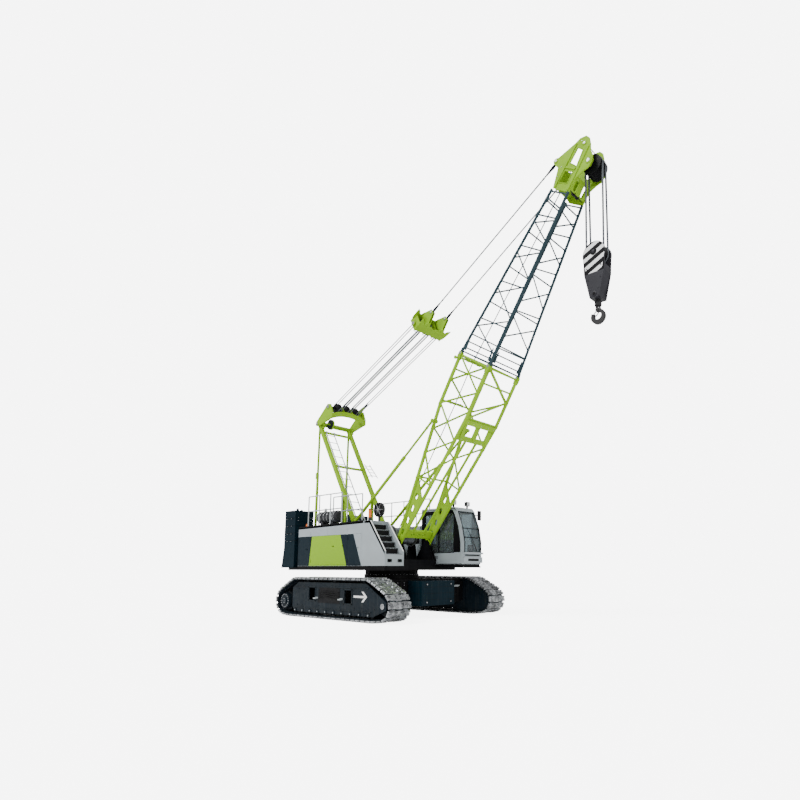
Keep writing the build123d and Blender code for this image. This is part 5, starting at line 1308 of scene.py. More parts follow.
@dataclass
class Cab:
    """The cab's seams, rubber, door fittings, wiper, lamps' lenses and what shows through its glass."""

    rear: float = 0.65
    front: float = 2.69
    inner: float = 0.7855
    outer: float = 1.7295
    middle: float = 1.2575
    line: tuple[Pair, ...] = ((2.69, 2.15), (2.69, 2.5), (2.58, 3.05), (2.375, 3.56))
    door: Triple = (1.33, 2.33, 3.6)
    surround: tuple[tuple[Pair, ...], ...] = (
        ((0.67, 2.15), (0.83, 2.15), (0.83, 3.62), (0.67, 3.62)),
        ((0.83, 3.52), (2.24, 3.52), (2.18, 3.62), (0.83, 3.62)),
        ((2.26, 2.15), (2.56, 2.15), (2.56, 2.49), (2.46, 3.02), (2.26, 3.52)),
    )

    def build(self) -> None:
        """Dresses the cab."""
        self.screen()
        self.body()
        self.door_fittings()
        self.interior()
        self.lamps()

    def screen(self) -> None:
        """Seats the front glass in rubber, with a cross bar, a wiper and two rails."""
        inner, outer, middle = self.inner, self.outer, self.middle
        rubber = Form()
        rows = [Vector((x, 0, z)) for x, z in self.line]
        for y in (inner + 0.07, outer - 0.07):
            rubber.tube([row + Vector((0.004, y, 0)) for row in rows], 0.014, 8)
        for x, z in (self.line[0], self.line[-1]):
            rubber.tube([(x + 0.004, inner + 0.07, z), (x + 0.004, outer - 0.07, z)], 0.014, 8)
        rubber.tube([(2.655, inner + 0.07, 2.66), (2.655, outer - 0.07, 2.66)], 0.017, 8)
        rubber.tube([(2.596, inner + 0.07, 2.97), (2.596, outer - 0.07, 2.97)], 0.012, 8)
        for y in (inner + 0.05, outer - 0.05):
            rail = [(x + 0.03, y, z) for x, z in self.line[:3]]
            rubber.tube(rail, 0.012, 8)
        wiper = [(2.72, middle + 0.2, 2.19), (2.715, middle + 0.05, 2.45), (2.66, middle - 0.08, 2.78)]
        rubber.tube(wiper, 0.009, 6)
        blade = [(2.705, middle - 0.02, 2.45), (2.655, middle - 0.12, 2.8), (2.598, middle - 0.2, 3.02)]
        rubber.tube(blade, 0.008, 6)
        rubber.piece("screen_rubber", Slot.NYLON, "upper", slot=Slot.BLACK)

    def body(self) -> None:
        """Adds the roof's gutter, the step slot, the sill's dark lines and the side glass's rubber."""
        inner, outer = self.inner, self.outer
        dark, pale = Form(), Form()
        for y in (inner + 0.002, outer - 0.002):
            dark.tube([(self.rear + 0.04, y, 3.655), (2.27, y, 3.655), (2.36, y, 3.57)], 0.01, 6)
        front = facing(1, self.front)
        dark.pad(front, (inner + 0.1, outer - 0.1), (2.03, 2.07), (-0.002, 0.004))
        bumper = facing(1, self.front + 0.05)
        dark.pad(bumper, (inner + 0.2, outer - 0.2), (1.85, 1.93), (-0.002, 0.003))
        for y in (inner + 0.1, outer - 0.1):
            for z in (1.84, 1.94):
                pale.stud(bumper, y, z, 0.012, 0.008)
        inside = Face((0, inner, 0), (1, 0, 0), (0, 0, 1), (0, -1, 0))
        dark.frame(inside, (0.83, 2.26), (2.13, 3.52), 0.02, (-0.02, 0.006))
        dark.pad(inside, (1.52, 1.55), (2.15, 3.5), (-0.02, 0.006))
        for across, rise in (((self.rear + 0.03, 2.62), (1.745, 1.765)), ((0.9, 1.5), (1.93, 1.945)),
                ((0.9, 1.5), (1.96, 1.975)), ((0.9, 1.5), (1.99, 2.005)), ((0.9, 1.5), (2.02, 2.035))):
            dark.pad(inside, across, rise, (-0.002, 0.002))
        for outline in self.surround:
            dark.sheet(inside, outline, (-0.002, 0.004))
        dark.box((self.rear + 0.05, inner + 0.02, 1.684), (self.front - 0.06, outer - 0.02, 1.742))
        side = flank(1, outer)
        dark.pad(side, (self.rear + 0.03, 1.3), (1.745, 1.765), (-0.002, 0))
        rear = facing(-1, self.rear)
        dark.frame(rear, (inner + 0.05, outer - 0.05), (2.48, 3.52), 0.02, (-0.02, 0.006))
        roof = Face((0, 0, 3.72), (1, 0, 0), (0, 1, 0), (0, 0, 1))
        for x in (0.85, 1.15, 1.45, 1.75):
            pale.pad(roof, (x, x + 0.03), (inner + 0.12, outer - 0.12), (-0.001, 0.008))
        pale.pad(roof, (0.95, 1.45), (1.05, 1.46), (0, 0.03))
        dark.piece("cab_seams", Slot.BLACK, "upper", 0.001)
        pale.piece("cab_roof_ribs", Slot.GREY, "upper", 0.003)

    def door_fittings(self) -> None:
        """Glazes the door and adds its rubber, handle and grab rail."""
        rear, front, high = self.door
        side = flank(1, self.outer)
        glass = Form().pad(side, (rear + 0.072, front - 0.072), (2.152, high - 0.072), (-0.032, -0.022))
        glass.piece("door_glass", Slot.GLASS, "cab_door")
        dark, pale = Form(), Form()
        dark.frame(side, (rear + 0.055, front - 0.055), (2.135, 3.545), 0.02, (-0.036, -0.002))
        dark.pad(side, (rear + 0.4, rear + 0.425), (2.155, 3.525), (-0.036, -0.002))
        dark.pad(side, (rear + 0.02, rear + 0.05), (2.3, 2.42), (-0.004, 0))
        dark.pad(side, (front - 0.17, front - 0.06), (2.03, 2.09), (-0.02, -0.001))
        pale.pad(side, (front - 0.155, front - 0.075), (2.045, 2.075), (-0.014, 0))
        for z in (1.95, 3.45):
            dark.pad(side, (rear + 0.004, rear + 0.04), (z - 0.05, z + 0.05), (-0.014, 0))
        dark.piece("cab_door_rubber", Slot.NYLON, "cab_door", 0.002, slot=Slot.BLACK)
        pale.piece("cab_door_grip", Slot.RAIL, "cab_door", 0.002)
        grab = Form()
        shy, proud = self.outer - 0.03, self.outer - 0.002
        path = [(1.22, shy, 2.2), (1.22, proud, 2.24), (1.22, proud, 3.1), (1.22, shy, 3.14)]
        grab.tube(rounded(path, 0.02), 0.012, 8)
        grab.piece("cab_grab_rail", Slot.RAIL, "upper")

    def interior(self) -> None:
        """Fits a padded seat, consoles with levers, a floor mat, a dash and a brown lining."""
        y = self.middle
        cushion = Form()
        for low, high, deep in (((1.24, y - 0.24, 2.285), (1.76, y + 0.24, 2.4), 0.05),
                ((1.145, y - 0.23, 2.36), (1.3, y + 0.23, 2.98), 0.04),
                ((1.16, y - 0.14, 3.0), (1.27, y + 0.14, 3.2), 0.03)):
            rings = []
            steps = 6
            for step in range(steps + 1):
                share = step / steps
                swell = deep * (1 - sin(pi * (0.12 + 0.76 * share)))
                z = low[2] + (high[2] - low[2]) * share
                corners = [(low[0] + swell, low[1] + swell), (high[0] - swell, low[1] + swell),
                    (high[0] - swell, high[1] - swell), (low[0] + swell, high[1] - swell)]
                rings.append([(a, b, z) for a, b in corners])
            cushion.loft(rings)
        made = cushion.piece("operator_seat", Slot.CLOTH, "upper", 0.02, 60)
        made.modifiers.new("round", "SUBSURF").levels = 1
        dark, lining, metal = Form(), Form(), Form()
        dark.box((1.27, y - 0.2, 1.8), (1.72, y + 0.2, 2.28))
        for sign in (-1, 1):
            low, high = sorted((y + sign * 0.27, y + sign * 0.37))
            dark.box((1.3, low, 2.3), (1.78, high, 2.52))
            metal.tube([(1.7, y + sign * 0.32, 2.52), (1.72, y + sign * 0.32, 2.66)], 0.009, 8)
            metal.spin((1.722, y + sign * 0.32, 2.65), (0, 0, 1),
                [(0, 0.012), (0.02, 0.022), (0.06, 0.018), (0.07, 0)], 12)
        dark.box((2.28, y - 0.36, 1.85), (2.48, y + 0.36, 2.12))
        dark.box((2.34, y + 0.12, 2.12), (2.42, y + 0.34, 2.42))
        for shift in (-0.16, -0.05, 0.08):
            metal.tube([(2.22, y + shift, 1.8), (2.28, y + shift, 1.98), (2.27, y + shift, 2.05)], 0.008, 6)
            metal.box((2.25, y + shift - 0.03, 1.97), (2.27, y + shift + 0.03, 2.08))
        dark.box((0.72, 0.85, 1.792), (2.6, 1.66, 1.802))
        lining.box((0.705, 0.84, 1.8), (0.72, 1.675, 2.49))
        lining.box((0.72, 0.84, 3.645), (2.2, 1.675, 3.665))
        lining.box((0.72, 0.838, 1.8), (2.28, 0.848, 2.14))
        lining.box((0.72, 1.667, 1.8), (1.31, 1.677, 3.64))
        lining.box((2.26, 0.838, 2.14), (2.28, 0.848, 3.5))
        dark.piece("cab_consoles", Slot.BLACK, "upper", 0.012)
        lining.piece("cab_lining", Slot.LINING, "upper", 0.002, slot=Slot.CLOTH)
        metal.piece("cab_levers", Slot.BARE, "upper")

    def lamps(self) -> None:
        """Gives both work lamps a bezel and a lens, and the mirror a housing."""
        dark, lens = Form(), Form()
        for y in (0.9, 1.6):
            face = facing(1, 2.175, y, 3.885)
            dark.frame(face, (-0.082, 0.082), (-0.077, 0.077), 0.015, (-0.02, 0.008))
            lens.pad(face, (-0.066, 0.066), (-0.061, 0.061), (0, 0.003))
            for index in range(6):
                z = -0.05 + 0.02 * index
                lens.pad(face, (-0.062, 0.062), (z - 0.002, z + 0.002), (0.003, 0.005))
            back = facing(-1, 2.065, y, 3.885)
            for index in range(5):
                shift = -0.05 + 0.025 * index
                dark.pad(back, (shift - 0.004, shift + 0.004), (-0.055, 0.055), (-0.001, 0.012))
        lens.piece("work_lamp_lenses", Slot.LENS, "upper", slot=Slot.GLASS)
        middle = Vector((2.48, 1.85, 3.47))
        shell = []
        for x, grow in ((-0.016, 0), (-0.005, 0.012), (0.012, 0.006), (0.022, -0.012)):
            half_y, half_z = 0.088 + grow, 0.168 + grow
            ring = []
            for turn in range(28):
                angle = 2 * pi * turn / 28
                c, s = cos(angle), sin(angle)
                ring.append(middle + Vector((x, half_y * copysign(abs(c) ** 0.5, c),
                    half_z * copysign(abs(s) ** 0.5, s))))
            shell.append(ring)
        dark.loft(shell)
        dark.tube(rounded([(2.37, 1.7, 3.47), (2.42, 1.79, 3.49), (2.47, 1.84, 3.47)], 0.03), 0.012, 8)
        dark.piece("lamp_and_mirror_shells", Slot.NYLON, "upper", 0.002)
        face = facing(-1, 2.464, 1.85, 3.47)
        mirror = Form().pad(face, (-0.078, 0.078), (-0.155, 0.155), (0, 0.003))
        mirror.piece("mirror_glass", Slot.CHROME, "upper", 0.001, slot=Slot.BARE)


@dataclass
class Counterweight:
    """The stacks' slab seams, lifting lugs, tie bolts and the plates at their feet."""

    rear: float = -4.4
    front: float = -3.56
    inner: float = 0.91
    outer: float = 1.68
    top: float = 3.77
    flare: float = 0.13
    flare_top: float = 2.35

    def build(self) -> None:
        """Dresses both stacks."""
        rear, front, top = self.rear, self.front, self.top
        dark, teal, bolts = Form(), Form(), Form()
        lean = atan2(0.02, top - self.flare_top)
        for sign in (-1, 1):
            side = flank(sign, self.outer)
            for index in range(1, 5):
                level = self.flare_top + index * (top - self.flare_top) / 5
                dark.pad(side, (rear + self.flare + 0.02, front), (level - 0.005, level + 0.005),
                    (-0.0148, -0.012))
                for x in (-4.05, -3.78):
                    teal.pad(side, (x - 0.05, x + 0.05), (level - 0.055, level - 0.008), (-0.001, 0.012))
                    bolts.stud(side, x, level - 0.03, 0.012, 0.01, 6, 0.012)
            for x, y in ((-4.0925, self.inner + 0.1925), (-3.7375, self.inner + 0.5775)):
                loop = arc((x, sign * y, top + 0.045), (0.05, 0, 0), (0, 0, 0.045), 0, 180, 10)
                teal.tube(loop, 0.012, 8)
            low, high = span(sign, self.inner + 0.06, self.outer - 0.06)
            shift = rear + self.flare
            back = Face((shift + 0.02, 0, top), (0, 1, 0), (-sin(lean), 0, -cos(lean)),
                (-cos(lean), 0, sin(lean)))
            for index in range(1, 5):
                drop = (5 - index) * (top - self.flare_top) / 5
                dark.pad(back, (low - 0.05, high + 0.05), (drop - 0.005, drop + 0.005), (-0.006, 0.0015))
            for y in (low + 0.1, (low + high) / 2, high - 0.1):
                for drop in (0.14, 0.42, 0.71, 0.99, 1.27):
                    bolts.stud(back, y, drop, 0.02, 0.012)
                    teal.stud(back, y, drop, 0.04, 0.004, 20)
            teal.pad(side, (rear + 0.02, front - 0.02), (1.625, 1.66), (0, 0.02))
            face = facing(1, front)
            teal.pad(face, (low, high), (3.35, 3.55), (-0.001, 0.012))
            for y in (low + 0.06, high - 0.06):
                for z in (3.39, 3.51):
                    bolts.stud(face, y, z, 0.015, 0.01, 6, 0.012)
        behind = facing(-1, -4.3)
        for y in (-0.6, -0.2, 0.2, 0.6):
            teal.pad(behind, (y - 0.03, y + 0.03), (1.92, 2.58), (-0.001, 0.02))
        dark.pad(behind, (-0.88, 0.88), (2.23, 2.24), (-0.001, 0.0015))
        dark.piece("counterweight_seams", Slot.BLACK, "upper")
        teal.piece("counterweight_fittings", Slot.TEAL, "upper", 0.002)
        bolts.piece("counterweight_bolts", Slot.BARE, "upper")


@dataclass
class Gantry:
    """The gantry's pins, its short far ladder, stay joints, rope socket, guide rollers and knobs."""

    side: float = 0.68
    arm: float = 0.805
    foot: Pair = (-0.75, 2.3)
    peak: Pair = (-3.69, 7.28)
    falls: Pair = (-2.99, 7.86)

    def leg(self, z: float) -> float:
        """Where a leg's centre line passes a height."""
        (x0, z0), (x1, z1) = self.foot, self.peak
        return x0 + (x1 - x0) * (z - z0) / (z1 - z0)

    def build(self) -> None:
        """Dresses the gantry."""
        lime, bare, pale, dark = Form(), Form(), Form(), Form()
        for sign in (-1, 1):
            arm = flank(sign, self.arm)
            for x, z, radius in ((*self.peak, 0.085), (*self.falls, 0.1)):
                lime.stud(arm, x, z, radius, 0.018, 24)
                bare.stud(arm, x, z, radius * 0.62, 0.02, 24, 0.018)
                bare.ring(arm, (x, z), radius * 0.8, 6, 0.008, 0.008, 6, 0.018)
            leg = flank(sign, self.side + 0.055)
            bare.stud(leg, *self.foot, 0.05, 0.03, 20)
            for step in (-1, 1):
                bare.stud(leg, self.foot[0] + step * 0.075, self.foot[1] - 0.1, 0.012, 0.01)
            stay = flank(sign, self.side + 0.03)
            for z in (5.26, 5.16):
                bare.stud(stay, -3.745, z, 0.022, 0.02, 12)
            for low, high, half in ((5.1, 5.34, 0.058), (2.62, 2.8, 0.06)):
                lime.pad(stay, (-3.755 - half, -3.755 + half), (low, high), (-0.001, 0.014))
            bare.stud(stay, -3.775, 2.72, 0.03, 0.02, 16, 0.014)
            for z in (3.7, 4.4, 5.1, 5.9, 6.6):
                x = self.leg(z)
                lime.pad(leg, (x - 0.055, x + 0.055), (z - 0.004, z + 0.004), (-0.004, 0.006))
            strut = flank(sign, self.side + 0.045)
            lime.pad(strut, (-2.13, -1.97), (1.9, 1.93), (-0.001, 0.04))
            bare.stud(strut, -2.05, 2.02, 0.025, 0.02, 12)
            knob = Vector((self.leg(7.05) + 0.11, sign * self.side, 7.12))
            lime.spin(knob, (1, 0, 0.35), [(-0.02, 0.05), (0.02, 0.052), (0.05, 0.04), (0.06, 0)], 16)
            lime.spin(knob + Vector((0.05, 0, 0.12)), (1, 0, 0.35),
                [(-0.05, 0.04), (0.02, 0.045), (0.04, 0.03), (0.05, 0)], 16)
        run = Vector((cos(radians(25)), 0, sin(radians(25))))
        prong = Vector((-2.93, 0.62, 7.88))
        lime.slab([prong + Vector((0, 0, -0.15)), prong + run * 0.42 + Vector((0, 0, 0.02)),
            prong + run * 0.44 + Vector((0, 0, 0.09)), prong + Vector((-0.06, 0, 0.12))], (0, 0.03, 0))
        dark.spin(prong + run * 0.42 + Vector((0, 0, 0.05)), run,
            [(-0.1, 0.03), (0, 0.034), (0.14, 0.02), (0.2, 0.015)], 14)
        low, high = Vector((-2.12, 0.9, 5.18)), Vector((-2.64, 0.9, 5.76))
        for y in (0.72, 0.98):
            pale.tube([(low.x, y, low.z), (high.x, y, high.z)], 0.016, 8)
        for index in range(4):
            spot = low.lerp(high, (index + 0.5) / 4)
            pale.tube([(spot.x, 0.72, spot.z), (spot.x, 0.98, spot.z)], 0.012, 8)
        for z in (5.25, 5.6):
            x = self.leg(z)
            spot = low.lerp(high, (z - 5.18) / 0.58)
            pale.tube([(x, 0.7, z), (spot.x, 0.735, z)], 0.014, 8)
        for y in (-0.52, -0.16):
            for z in (3.3, 5.5, 6.95):
                x = self.leg(z)
                pale.box((x - 0.03, y - 0.03, z - 0.045), (x + 0.05, y + 0.03, z + 0.055))
        guide = Vector((-3.45, -0.35, 7.3))
        for shift in (-0.034, 0.034):
            dark.spin(guide + aside(shift), (0, 1, 0), [(-0.004, 0.19), (-0.004, 0.205), (0.004, 0.205),
                (0.004, 0.19)], 36)
            for index in range(5):
                turn = 2 * pi * index / 5
                out = Vector((cos(turn), 0, sin(turn)))
                dark.tube([guide + aside(shift) + out * 0.05, guide + aside(shift) + out * 0.18], 0.012, 6)
        for y in (-0.2, 0.2):
            plate = flank(-1 if y < 0 else 1, abs(y) + 0.015)
            bare.stud(plate, *self.falls, 0.07, 0.02, 20)
        arch = facing(1, -2.745)
        for y, z in ((-0.62, 7.49), (-0.4, 7.58), (0.4, 7.58), (0.62, 7.49)):
            bare.stud(arch, y, z, 0.016, 0.01)
        lime.piece("gantry_fittings", Slot.LIME, "upper", 0.002)
        bare.piece("gantry_pins", Slot.BARE, "upper")
        pale.piece("gantry_far_ladder", Slot.RAIL, "upper")
        dark.piece("guide_sheave_rim", Slot.FRAME, "upper")


def clipped(outline: list[Pair], frame: list[Pair]) -> list[Pair]:
    """Cuts an outline to the inside of a convex frame.

    Args:
        outline: The outline to cut.
        frame: The frame's corners, counter-clockwise.

    Returns:
        The part of the outline inside the frame.
    """
    kept = list(outline)
    for (ax, ay), (bx, by) in zip(frame, frame[1:] + frame[:1]):
        def inward(point: Pair) -> float:
            """Above 0 for a point inside the edge."""
            return (bx - ax) * (point[1] - ay) - (by - ay) * (point[0] - ax)

        cut = []
        for index, point in enumerate(kept):
            before = kept[index - 1]
            here, there = inward(point), inward(before)
            if (here >= 0) != (there >= 0):
                share = there / (there - here)
                cut.append((before[0] + share * (point[0] - before[0]),
                    before[1] + share * (point[1] - before[1])))
            if here >= 0:
                cut.append(point)
        kept = cut
    return kept


@dataclass
class Boom:
    """The boom's joint forks and pins, welds, slot rims, bolts and the fittings of its head."""

    half: float = 0.72
    depth: float = 0.662
    foot_half: float = 0.657
    tip_end: float = 11.8
    tip_half: float = 0.39
    guard: float = 0.33
    stations: tuple[tuple[float, float, float, float], ...] = ((0, 0.06, -0.06, 0.657),
        (4.8, 0.662, -0.662, 0.72), (6.5, 0.662, -0.662, 0.72), (11.8, 0.135, -0.5, 0.39))
    windows: tuple[tuple[Pair, ...], ...] = (
        ((0.76, -0.13), (1.19, -0.18), (1.15, -0.4), (0.7, -0.42)),
        ((0.19, -0.02), (0.53, -0.07), (0.55, -0.38), (0.21, -0.34)),
    )
    ribs: tuple[tuple[Pair, ...], ...] = (
        ((0.02, 0.02), (0.02, 0.08), (1.3, -0.06), (1.28, -0.11)),
        ((0.04, -0.5), (0.04, -0.44), (1.28, -0.5), (1.29, -0.56)),
        ((0.6, -0.42), (0.6, -0.06), (0.66, -0.07), (0.66, -0.42)),
    )

    def chord(self, along: float) -> Triple:
        """Back level, front level and half width of the chords at a distance from the foot."""
        for low, high in zip(self.stations, self.stations[1:]):
            if along <= high[0]:
                share = (along - low[0]) / (high[0] - low[0])
                return tuple(a + share * (b - a) for a, b in zip(low[1:], high[1:]))
        return self.stations[-1][1:]

    def build(self) -> None:
        """Dresses the boom."""
        self.joints()
        self.gussets()
        self.foot()
        self.head()

    def joints(self) -> None:
        """Puts fork plates and pins where the two sections meet."""
        slate, lime, pins = Form(), Form(), Form()
        for sign in (-1, 1):
            for level, step in ((self.depth, -1), (-self.depth, 1)):
                for shift in (-0.045, 0.045):
                    side = boom_side(sign, self.half + shift)
                    lime.sheet(side, [(6.28, level - 0.055), (6.4, level - 0.07), (6.52, level - 0.06),
                        (6.55, level), (6.52, level + 0.06), (6.4, level + 0.07), (6.28, level + 0.055)],
                        (-0.011, 0.011))
                side = boom_side(sign, self.half)
                slate.sheet(side, [(6.46, level - 0.045), (6.55, level - 0.05), (6.66, level - 0.03),
                    (6.66, level + 0.03), (6.55, level + 0.05), (6.46, level + 0.045)], (-0.03, 0.03))
                outer = boom_side(sign, self.half + 0.056)
                pins.stud(outer, 6.485, level, 0.034, 0.03, 20)
                pins.stud(outer, 6.485, level, 0.048, 0.008, 20)
                inner = boom_point(6.485, level, sign * (self.half - 0.058))
                pins.spin(inner, (0, -sign, 0), [(0, 0.034), (0.03, 0.034), (0.036, 0.028)], 20)
                stay = level + step * 0.1
                slate.sheet(side, [(6.62, stay - 0.05), (7.02, stay + step * 0.02 - 0.02),
                    (7.02, stay + step * 0.02 + 0.02), (6.62, stay + 0.05)], (-0.01, 0.01))
        rest = boom_side(-1, self.half + 0.07)
        lime.spin(rest.at(6.3, self.depth - 0.02), (0, -1, 0),
            [(-0.02, 0.03), (0.08, 0.03), (0.09, 0.055), (0.13, 0.055), (0.14, 0.03)], 16)
        stick = Form().tube([boom_point(6.35, self.depth + 0.03, 0.74),
            boom_point(6.4, self.depth + 0.1, 0.3)], 0.018, 8)
        stick.tube([boom_point(6.42, self.depth + 0.075, -0.72),
            boom_point(6.38, self.depth + 0.075, -0.2)], 0.018, 8)
        slate.piece("joint_forks_of_tip", Slot.SLATE, "boom", 0.003)
        lime.piece("joint_forks_of_foot", Slot.LIME, "boom", 0.003)
        pins.piece("joint_pins", Slot.BARE, "boom")
        stick.piece("joint_tie_rods", Slot.RAIL, "boom")

    def gussets(self) -> None:
        """Welds a fillet where the lacing meets the chords."""
        lime = Form()
        for along in [2.3 + index * 2.5 / 3 for index in range(4)] + [5.62, 6.44]:
            back, front, half = self.chord(along)
            for sign in (-1, 1):
                for level in (back, front):
                    spot = boom_point(along, level, sign * half)
                    lime.spin(spot - BOOM_ALONG * 0.07, BOOM_ALONG,
                        [(0, 0.056), (0.02, 0.0625), (0.12, 0.0625), (0.14, 0.056)], 12)
        lime.piece("foot_section_welds", Slot.LIME, "boom", crease=50)

    def foot(self) -> None:
        """Rims the foot plates' slots and bolts the foot and the portal plate."""
        lime, bare = Form(), Form()
        for sign in (-1, 1):
            outer = boom_side(sign, self.foot_half + 0.025)
            for across, high in ((0.42, 0), (0.85, 0.01), (1.29, 0.02), (1.72, 0.06)):
                run = Vector((cos(radians(10)), sin(radians(10))))
                loop = []
                for side, start in ((1, -90), (-1, 90)):
                    centre = Vector((across, high)) + run * 0.055 * side
                    for step in range(9):
                        turn = radians(10 + start + 180 * step / 8)
                        loop.append(outer.at(centre.x + 0.064 * cos(turn),
                            centre.y + 0.064 * sin(turn), 0.002))
                lime.hoop(loop, 0.007, 6)
            bare.ring(outer, (0, 0), 0.095, 8, 0.008, 0.004)
            ear = flank(sign, 0.728)
            bare.stud(ear, 1.084, 2.466, 0.052, 0.018, 24)
            bare.pad(ear, (1.03, 1.14), (2.505, 2.53), (0, 0.012))
        face = Face(boom_point(0, 0.06, 0), BOOM_ALONG, (0, 1, 0), BOOM_ABOVE)
        for y in (-0.58, -0.4, 0.4, 0.58):
            for along in (0.27, 0.45):
                bare.stud(face, along, y, 0.012, 0.008)
        plate = Face(boom_point(0, -0.705, 0), BOOM_ALONG, (0, 1, 0), -BOOM_ABOVE)
        for along in (4.13, 4.68):
            for y in (-0.62, -0.35, 0, 0.35, 0.62):
                bare.stud(plate, along, y, 0.014, 0.009)
        lime.piece("foot_slot_rims", Slot.LIME, "boom")
        bare.piece("foot_bolts", Slot.BARE, "boom")

    def head(self) -> None:
        """Rims the head's windows and adds rope guards, two rollers, ribs, pins and bolts."""
        lime, bare, pale, dark = Form(), Form(), Form(), Form()
        for sign in (-1, 1):
            side = boom_side(sign, self.tip_half + 0.02, self.tip_end)
            for window in self.windows:
                lime.hoop([side.at(x, z, 0) for x, z in self.rounded_window(window)], 0.016, 6)
            for rib in self.ribs:
                lime.sheet(side, rib if sign > 0 else list(reversed(rib)), (-0.001, 0.028))
            for x, z, radius in ((0.9, -0.74, 0.09), (1.33, -0.35, 0.062), (0.76, 0.41, 0.07)):
                lime.stud(side, x, z, radius, 0.012, 24)
                bare.stud(side, x, z, radius * 0.6, 0.016, 20, 0.012)
            for x, z in ((0.12, 0.06), (0.12, -0.46), (0.35, 0.11), (0.35, -0.49), (0.62, 0.12),
                    (1.38, -0.22), (1.1, -0.1)):
                bare.stud(side, x, z, 0.014, 0.009)
        centre = boom_point(12.7, -0.74)
        for turn in (20, 48, 76):
            out = BOOM_ALONG * cos(radians(turn)) + BOOM_ABOVE * sin(radians(turn))
            spot = centre + out * self.guard
            pale.tube([spot - aside(0.365), spot + aside(0.365)], 0.012, 8)
        for y in (-0.24, 0.24):
            loop = arc(centre + aside(y), BOOM_ALONG * self.guard, BOOM_ABOVE * self.guard, 20, 76, 6)
            pale.tube(loop, 0.01, 6)
        for y in (-0.3, 0.3):
            lime.sheet(Face(centre + aside(y), BOOM_ALONG, BOOM_ABOVE, (0, 1, 0)),
                [(-0.1, -0.08), (0.1, -0.08), (0.3, 0.3), (-0.3, 0.3)], (-0.006, 0.006))
        roller = boom_point(12.36, 0.11)
        dark.spin(roller, (0, 1, 0), [(-0.2, 0.05), (-0.18, 0.05), (-0.16, 0.04), (0.16, 0.04), (0.18, 0.05),
            (0.2, 0.05)], 20)
        pale.tube([roller - aside(0.368), roller + aside(0.368)], 0.018, 8)
        small = boom_point(11.9, -0.45)
        dark.spin(small, (0, 1, 0), [(-0.12, 0.07), (-0.09, 0.07), (-0.07, 0.055), (0.07, 0.055),
            (0.09, 0.07), (0.12, 0.07)], 20)
        pale.tube([small - aside(0.368), small + aside(0.368)], 0.018, 8)
        lime.piece("head_rims", Slot.LIME, "boom", 0.002)
        bare.piece("head_pins_and_bolts", Slot.BARE, "boom")
        pale.piece("head_rope_guards", Slot.FRAME, "boom")
        dark.piece("head_rollers", Slot.NYLON, "boom")

    def rounded_window(self, corners: tuple[Pair, ...]) -> list[Pair]:
        """A window's outline with a few points on each side."""
        points = []
        for (ax, az), (bx, bz) in zip(corners, corners[1:] + corners[:1]):
            points += [(ax + (bx - ax) * step / 6, az + (bz - az) * step / 6) for step in range(6)]
        return points


@dataclass
class Bridle:
    """The bridle's bolts and shaft caps, and the pendants' sockets and collars."""

    axis: Vector = Vector((1.6, 0, 10.0)).freeze()
    gantry: Vector = Vector((-2.99, 0, 7.86)).freeze()
    pin: Vector = Vector((2.19, 0, 10.31)).freeze()
    top: Vector = boom_point(12.56, 0.41).freeze()
    rows: tuple[float, ...] = (-0.336, 0.336)

    def build(self) -> None:
        """Dresses the bridle and the pendants."""
        axis, pin, top = self.axis, self.pin, self.top
        run = (axis - self.gantry).normalized()
        up = Vector((-run.z, 0, run.x))
        lime, bare = Form(), Form()
        for level in (-0.2345, 0.2345):
            step = copysign(1, level)
            face = Face(axis + up * level, run, (0, 1, 0), up * step)
            for y in (-0.5, -0.2, 0.2, 0.5):
                for x in (0.02, 0.2):
                    bare.stud(face, x, y, 0.014, 0.009)
            for y in self.rows:
                lime.pad(face, (0.24, 0.42), (y - 0.012, y + 0.012), (-0.001, 0.016))
        for sign in (-1, 1):
            side = Face(axis + aside(sign * 0.6455), run, up, (0, sign, 0))
            lime.stud(side, 0, 0, 0.09, 0.012, 24)
            bare.stud(side, 0, 0, 0.055, 0.016, 20, 0.012)
            for out in (-1, 1):
                bare.spin(pin + aside(sign * self.rows[1] + out * 0.056), (0, out, 0),
                    [(0, 0.045), (0.014, 0.045), (0.018, 0.038)], 16)
        for y in (-0.4, 0, 0.4):
            for step in (-1, 1):
                spot = axis - run * 0.218 + aside(y) + up * step * 0.09
                bare.tube([spot - aside(0.085), spot + aside(0.085)], 0.01, 6)
        lime.piece("bridle_rims", Slot.LIME, "bridle", 0.002)
        bare.piece("bridle_bolts", Slot.BARE, "bridle")
        line = (pin - top).normalized()
        sockets, collars = Form(), Form()
        for y in self.rows:
            for spot, way in ((top, line), (pin, -line)):
                base = spot + aside(y)
                sockets.spin(base, way, [(0.062, 0.026), (0.075, 0.031), (0.11, 0.04), (0.19, 0.045),
                    (0.27, 0.036), (0.37, 0.028), (0.4, 0.0245)], 18)
                collars.spin(base, way, [(0.4, 0.024), (0.405, 0.03), (0.43, 0.03), (0.435, 0.024)], 16)
                collars.spin(base, way, [(0.55, 0.0235), (0.555, 0.028), (0.6, 0.028), (0.605, 0.0235)], 16)
        sockets.piece("pendant_sockets", Slot.FRAME, "pendants", crease=50)
        collars.piece("pendant_collars", Slot.BARE, "pendants")


